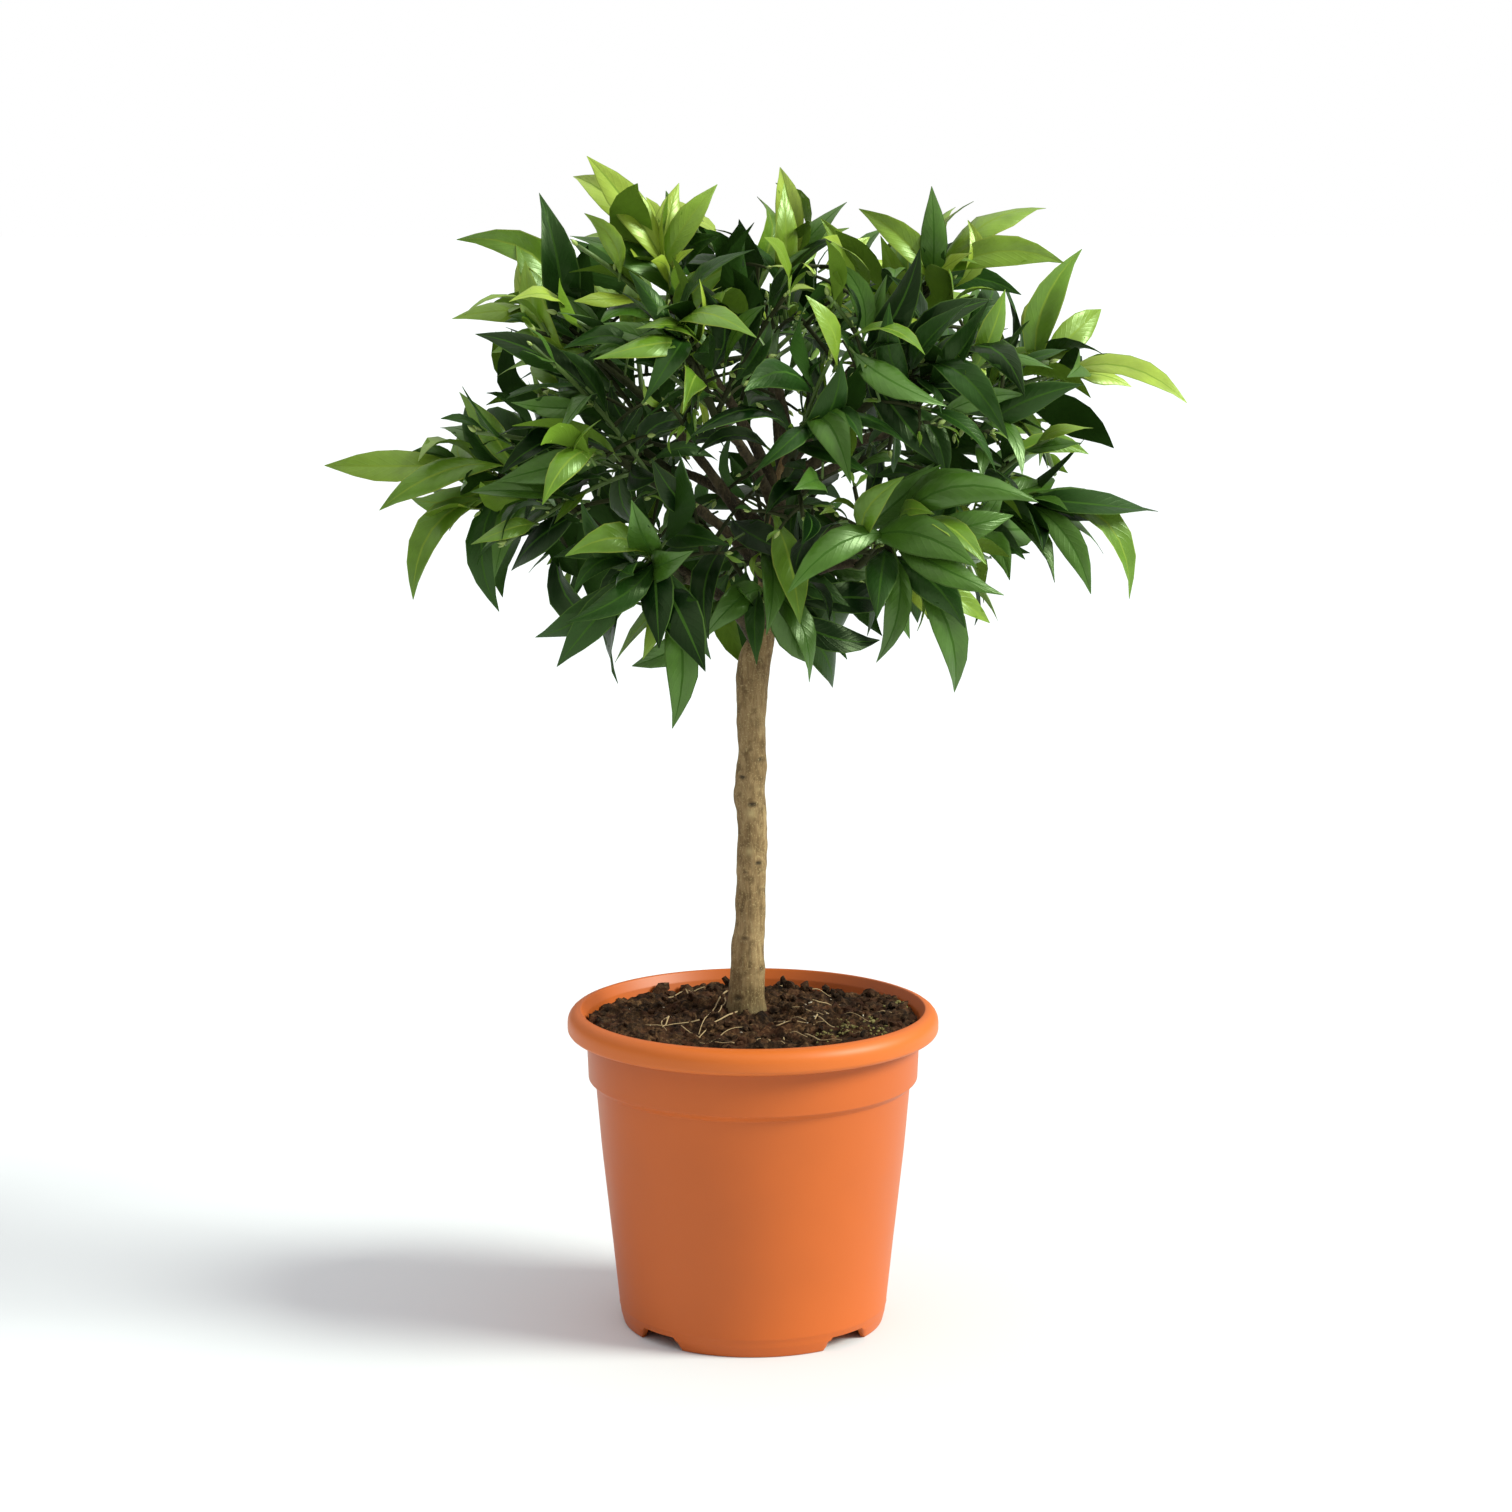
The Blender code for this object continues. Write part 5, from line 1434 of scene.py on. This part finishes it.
def principled(name, settings):
    """A material and its shader, with the settings on the shader's own sockets."""
    material = bpy.data.materials.new(name)
    material.use_nodes = True
    shader = material.node_tree.nodes["Principled BSDF"]
    for key, value in settings.items():
        shader.inputs[key].default_value = value
    return material, material.node_tree, shader


def dress(tree, shader, colour, roughness, height, strength, depth):
    """Links a paint's colour and roughness to its shader, and its height as a bump."""
    raised = node(tree, "ShaderNodeBump", {"Height": height, "Strength": strength, "Distance": depth})
    tree.links.new(colour, shader.inputs["Base Color"])
    tree.links.new(roughness, shader.inputs["Roughness"])
    tree.links.new(raised.outputs["Normal"], shader.inputs["Normal"])


def mottled(tree, place, groups, colour, roughness, scale, spread, grain=600.0, rough_spread=0.15):
    """The outputs of the mottling group for a colour."""
    inputs = {"Vector": place, "Colour": (*colour, 1.0), "Scale": scale, "Spread": spread,
              "Grain Scale": grain, "Roughness": roughness, "Roughness Spread": rough_spread}
    return node(tree, "ShaderNodeGroup", inputs, node_tree=groups["mottling"]).outputs


def mottled_paint(name, groups, colour, roughness, scale=40.0, spread=0.08, bump=0.2, veins=0.0,
                  settings=None):
    """A paint in one colour, mottled, with a fine grain; on a leaf also its side veins."""
    material, tree, shader = principled(name, settings or {})
    place = node(tree, "ShaderNodeTexCoord").outputs
    spots = mottled(tree, place["Object"], groups, colour, roughness, scale, spread)
    height = spots["Height"]
    if veins:
        lines = node(tree, "ShaderNodeGroup", {"UV": place["UV"]}, node_tree=groups["veins"])
        height = maths(tree, "MULTIPLY_ADD", lines.outputs["Height"], veins, height)
    dress(tree, shader, spots["Colour"], spots["Roughness"], height, bump, GRAIN_DEPTH)
    return material


def plain_paint(name, groups):
    """The mottled paint of that name in the table of plain ones."""
    return mottled_paint(name, groups, **PLAIN_LOOKS[name])


def leaf_paints(groups):
    """The paints of a leaf in the order of their slots: six tints, margins, midribs, undersides, petiole."""
    paints = []
    for name, colour in LEAF_COLOURS:
        gloss = GLOSS if colour[1] > DIM_BELOW else DIM
        paints.append(mottled_paint(name, groups, colour, **LEAF_LOOK, settings=gloss))
    paints += [mottled_paint(name, groups, colour, **RIB_LOOK) for name, colour in RIB_COLOURS]
    paints += [mottled_paint(name, groups, colour, **UNDER_LOOK) for name, colour in UNDER_COLOURS]
    return paints + [plain_paint("petiole", groups)]


def bark_paint(name, tones):
    """Bark of four tones, (light, mid, dark, pale): long streaks between the first three, then, each laid
    over the last, pale fine cracks, dark eyes at the knots, dark blotches, pale flecks and marks, and a
    damp foot at the soil."""
    light, mid, dark, pale = tones
    material, tree, shader = principled(name, BARK_SHEEN)
    place = node(tree, "ShaderNodeTexCoord").outputs["Object"]
    drawn = node(tree, "ShaderNodeMapping", {"Vector": place, "Scale": (1.0, 1.0, BARK_DRAW)}).outputs[0]
    streak = noise(tree, drawn, *BARK_STREAKS)
    patch = noise(tree, place, *BARK_SPOTS)
    blend = maths(tree, "MULTIPLY_ADD", patch, BARK_SHARES[1],
                  maths(tree, "MULTIPLY", streak, BARK_SHARES[0]))
    colour = three_tones(tree, blend, BARK_STOPS, (dark, mid, light))
    inputs = {"Vector": drawn, "Scale": BARK_STREAKS[0]}
    cells = node(tree, "ShaderNodeTexVoronoi", inputs, feature="DISTANCE_TO_EDGE")
    crack = between(tree, cells.outputs["Distance"], 0.0, CRACK_WIDTH, CRACK_STRENGTH, 0.0)
    eye = node(tree, "ShaderNodeAttribute", attribute_name="knot_eye").outputs["Fac"]
    blotch = patches(tree, place, *BLOTCHES)
    fleck = maths(tree, "MAXIMUM", patches(tree, place, *FLECKS), maths(tree, "MULTIPLY", eye, -1.0))
    level = node(tree, "ShaderNodeSeparateXYZ", {"Vector": place}).outputs["Z"]
    damp = maths(tree, "MULTIPLY", between(tree, level, *DAMP_LEVELS, DAMP_STRENGTH, 0.0), patch)
    coats = [(crack, pale), (eye, KNOT_COLOUR), (blotch, dark), (fleck, pale), (damp, DAMP_COLOUR)]
    for factor, over in coats:
        colour = mixed(tree, factor, colour, over)
    height = maths(tree, "MULTIPLY_ADD", crack, CRACK_DEPTH, streak)
    roughness = between(tree, streak, 0.0, 1.0, *BARK_ROUGHNESS)
    dress(tree, shader, colour, roughness, height, *BARK_BUMP)
    return material


def peat_paint(name, tones):
    """Damp peat of three tones, (dark, mid, light), by a fine noise, shaded by broad patches and with rusty
    ones laid over."""
    material, tree, shader = principled(name, PEAT_SHEEN)
    place = node(tree, "ShaderNodeTexCoord").outputs["Object"]
    crumb = noise(tree, place, *PEAT_CRUMBS)
    colour = three_tones(tree, crumb, PEAT_STOPS, tones)
    swing = between(tree, noise(tree, place, *PEAT_SHADES), *PEAT_SWING)
    shaded = node(tree, "ShaderNodeVectorMath", {0: colour, "Scale": swing}, operation="SCALE")
    colour = mixed(tree, patches(tree, place, *RUST), shaded.outputs["Vector"], RUST_COLOUR)
    roughness = between(tree, crumb, 0.0, 1.0, *PEAT_ROUGHNESS)
    dress(tree, shader, colour, roughness, crumb, *PEAT_BUMP)
    return material


def plastic_paint(groups):
    """The pot's plastic: terracotta orange with a soft sheen and a slow mottling, a few tiny pale scuffs, and
    a paler rim, by the distance from the pot's axis: painted light, for the light that the rim catches."""
    material, tree, shader = principled("terracotta_plastic", PLASTIC_SHEEN)
    place = node(tree, "ShaderNodeTexCoord").outputs["Object"]
    spots = mottled(tree, place, groups, POT_COLOUR, **PLASTIC_LOOK)
    cells = node(tree, "ShaderNodeTexVoronoi", {"Vector": place, "Scale": SCUFF_SCALE}).outputs
    near = between(tree, cells["Distance"], *SCUFF_SIZE, SCUFF_STRENGTH, 0.0)
    chance = node(tree, "ShaderNodeSeparateColor", {"Color": cells["Color"]}).outputs["Red"]
    scuff = maths(tree, "MULTIPLY", near, maths(tree, "LESS_THAN", chance, SCUFF_SHARE))
    colour = mixed(tree, scuff, spots["Colour"], SCUFF_COLOUR)
    flat = node(tree, "ShaderNodeVectorMath", {0: place, 1: (1.0, 1.0, 0.0)}, operation="MULTIPLY")
    reach = node(tree, "ShaderNodeVectorMath", {0: flat.outputs["Vector"]}, operation="LENGTH")
    # Painted light: the rim is mixed towards a paler colour
    rim = between(tree, reach.outputs["Value"], *RIM_LIGHT_REACH, 0.0, 1.0)
    colour = mixed(tree, rim, colour, RIM_LIGHT_COLOUR)
    dress(tree, shader, colour, spots["Roughness"], spots["Height"], *PLASTIC_BUMP)
    return material


# Studio

def make_floor():
    """The white floor."""
    half = FLOOR_SIZE / 2.0
    mesh = bpy.data.meshes.new("floor")
    mesh.from_pydata([(-half, -half, 0.0), (half, -half, 0.0), (half, half, 0.0), (-half, half, 0.0)], [],
                     [(0, 1, 2, 3)])
    floor = bpy.data.objects.new("floor", mesh)
    bpy.context.scene.collection.objects.link(floor)
    white, _, shader = principled("floor_white", FLOOR_SHEEN)
    shader.inputs["Base Color"].default_value = (*FLOOR_COLOUR, 1.0)
    mesh.materials.append(white)


def make_sky():
    """A white sky, even to the camera. The light that it gives rises from the horizon as z to a power."""
    world = bpy.data.worlds.new("studio")
    bpy.context.scene.world = world
    world.use_nodes = True
    tree = world.node_tree
    sky = tree.nodes["Background"]
    sky.inputs["Color"].default_value = (1.0, 1.0, 1.0, 1.0)
    path = node(tree, "ShaderNodeLightPath")
    way = node(tree, "ShaderNodeTexCoord")
    parts = node(tree, "ShaderNodeSeparateXYZ", {"Vector": way.outputs["Generated"]})
    climb = maths(tree, "POWER", maths(tree, "MAXIMUM", parts.outputs["Z"], 0.0), SKY_POWER)
    light = maths(tree, "MULTIPLY_ADD", climb, SKY_RISE, SKY_LOW)
    seen = node(tree, "ShaderNodeMix", {"Factor": path.outputs["Is Camera Ray"], "A": light, "B": SKY_SEEN})
    tree.links.new(seen.outputs["Result"], sky.inputs["Strength"])


def make_key():
    """A broad key light from the right and a little to the front."""
    key = bpy.data.lights.new("key", "SUN")
    key.energy = KEY_STRENGTH
    key.color = KEY_COLOUR
    key.angle = math.radians(KEY_SPREAD)
    lamp = bpy.data.objects.new("key", key)
    x, y, z = KEY_TOWARDS
    lamp.rotation_euler = (math.atan2(math.hypot(x, y), z), 0.0, math.atan2(x, -y))
    bpy.context.scene.collection.objects.link(lamp)


def make_camera():
    """The camera at the photograph's place, looking a little down."""
    scene = bpy.context.scene
    eye = bpy.data.cameras.new("camera")
    eye.lens = CAMERA_LENS
    eye.sensor_width = CAMERA_SENSOR
    camera = bpy.data.objects.new("camera", eye)
    camera.location = CAMERA_PLACE
    camera.rotation_euler = (math.radians(90.0 - CAMERA_DOWN), 0.0, 0.0)
    scene.collection.objects.link(camera)
    scene.camera = camera
    scene.view_settings.view_transform = "Standard"
    scene.view_settings.look = "None"


def make_tree(groups):
    """The crown, its buds, and the wood."""
    wood = wood_balls()
    paints = leaf_paints(groups)
    stems, shoots, leaves, tips = [], [], [], []
    for mass in MASSES:
        twigs, lines, room = grow(mass, wood)
        fine = fill_out(mass, wood, twigs, lines, room)
        make_leaves(mass, room.leaves, paints)
        stems.append(twigs[0])
        shoots += twigs[1:]
        leaves += room.leaves
        tips += lines + fine
    make_twigs(stems + shoots, [plain_paint("stem_dark", groups), plain_paint("shoot_green", groups)])
    make_buds(leaves, tips, plain_paint("bud_green", groups))
    make_trunk(bark_paint("trunk_bark", TRUNK_TONES))
    make_boughs(bark_paint("bough_bark", SHADED_BOUGH_TONES))


def main():
    """Makes the studio, the tree, the pot and what lies in it."""
    groups = {"mottling": mottling_group(), "veins": vein_group()}
    make_floor()
    make_sky()
    make_key()
    make_camera()
    make_tree(groups)
    make_pot(plastic_paint(groups))
    make_peat(peat_paint("peat", PEAT_TONES))
    make_fibres(plain_paint("fibre", groups))
    make_litter(peat_paint("peat_clod", CLOD_TONES), plain_paint("moss", groups),
                plain_paint("speck", groups))


main()
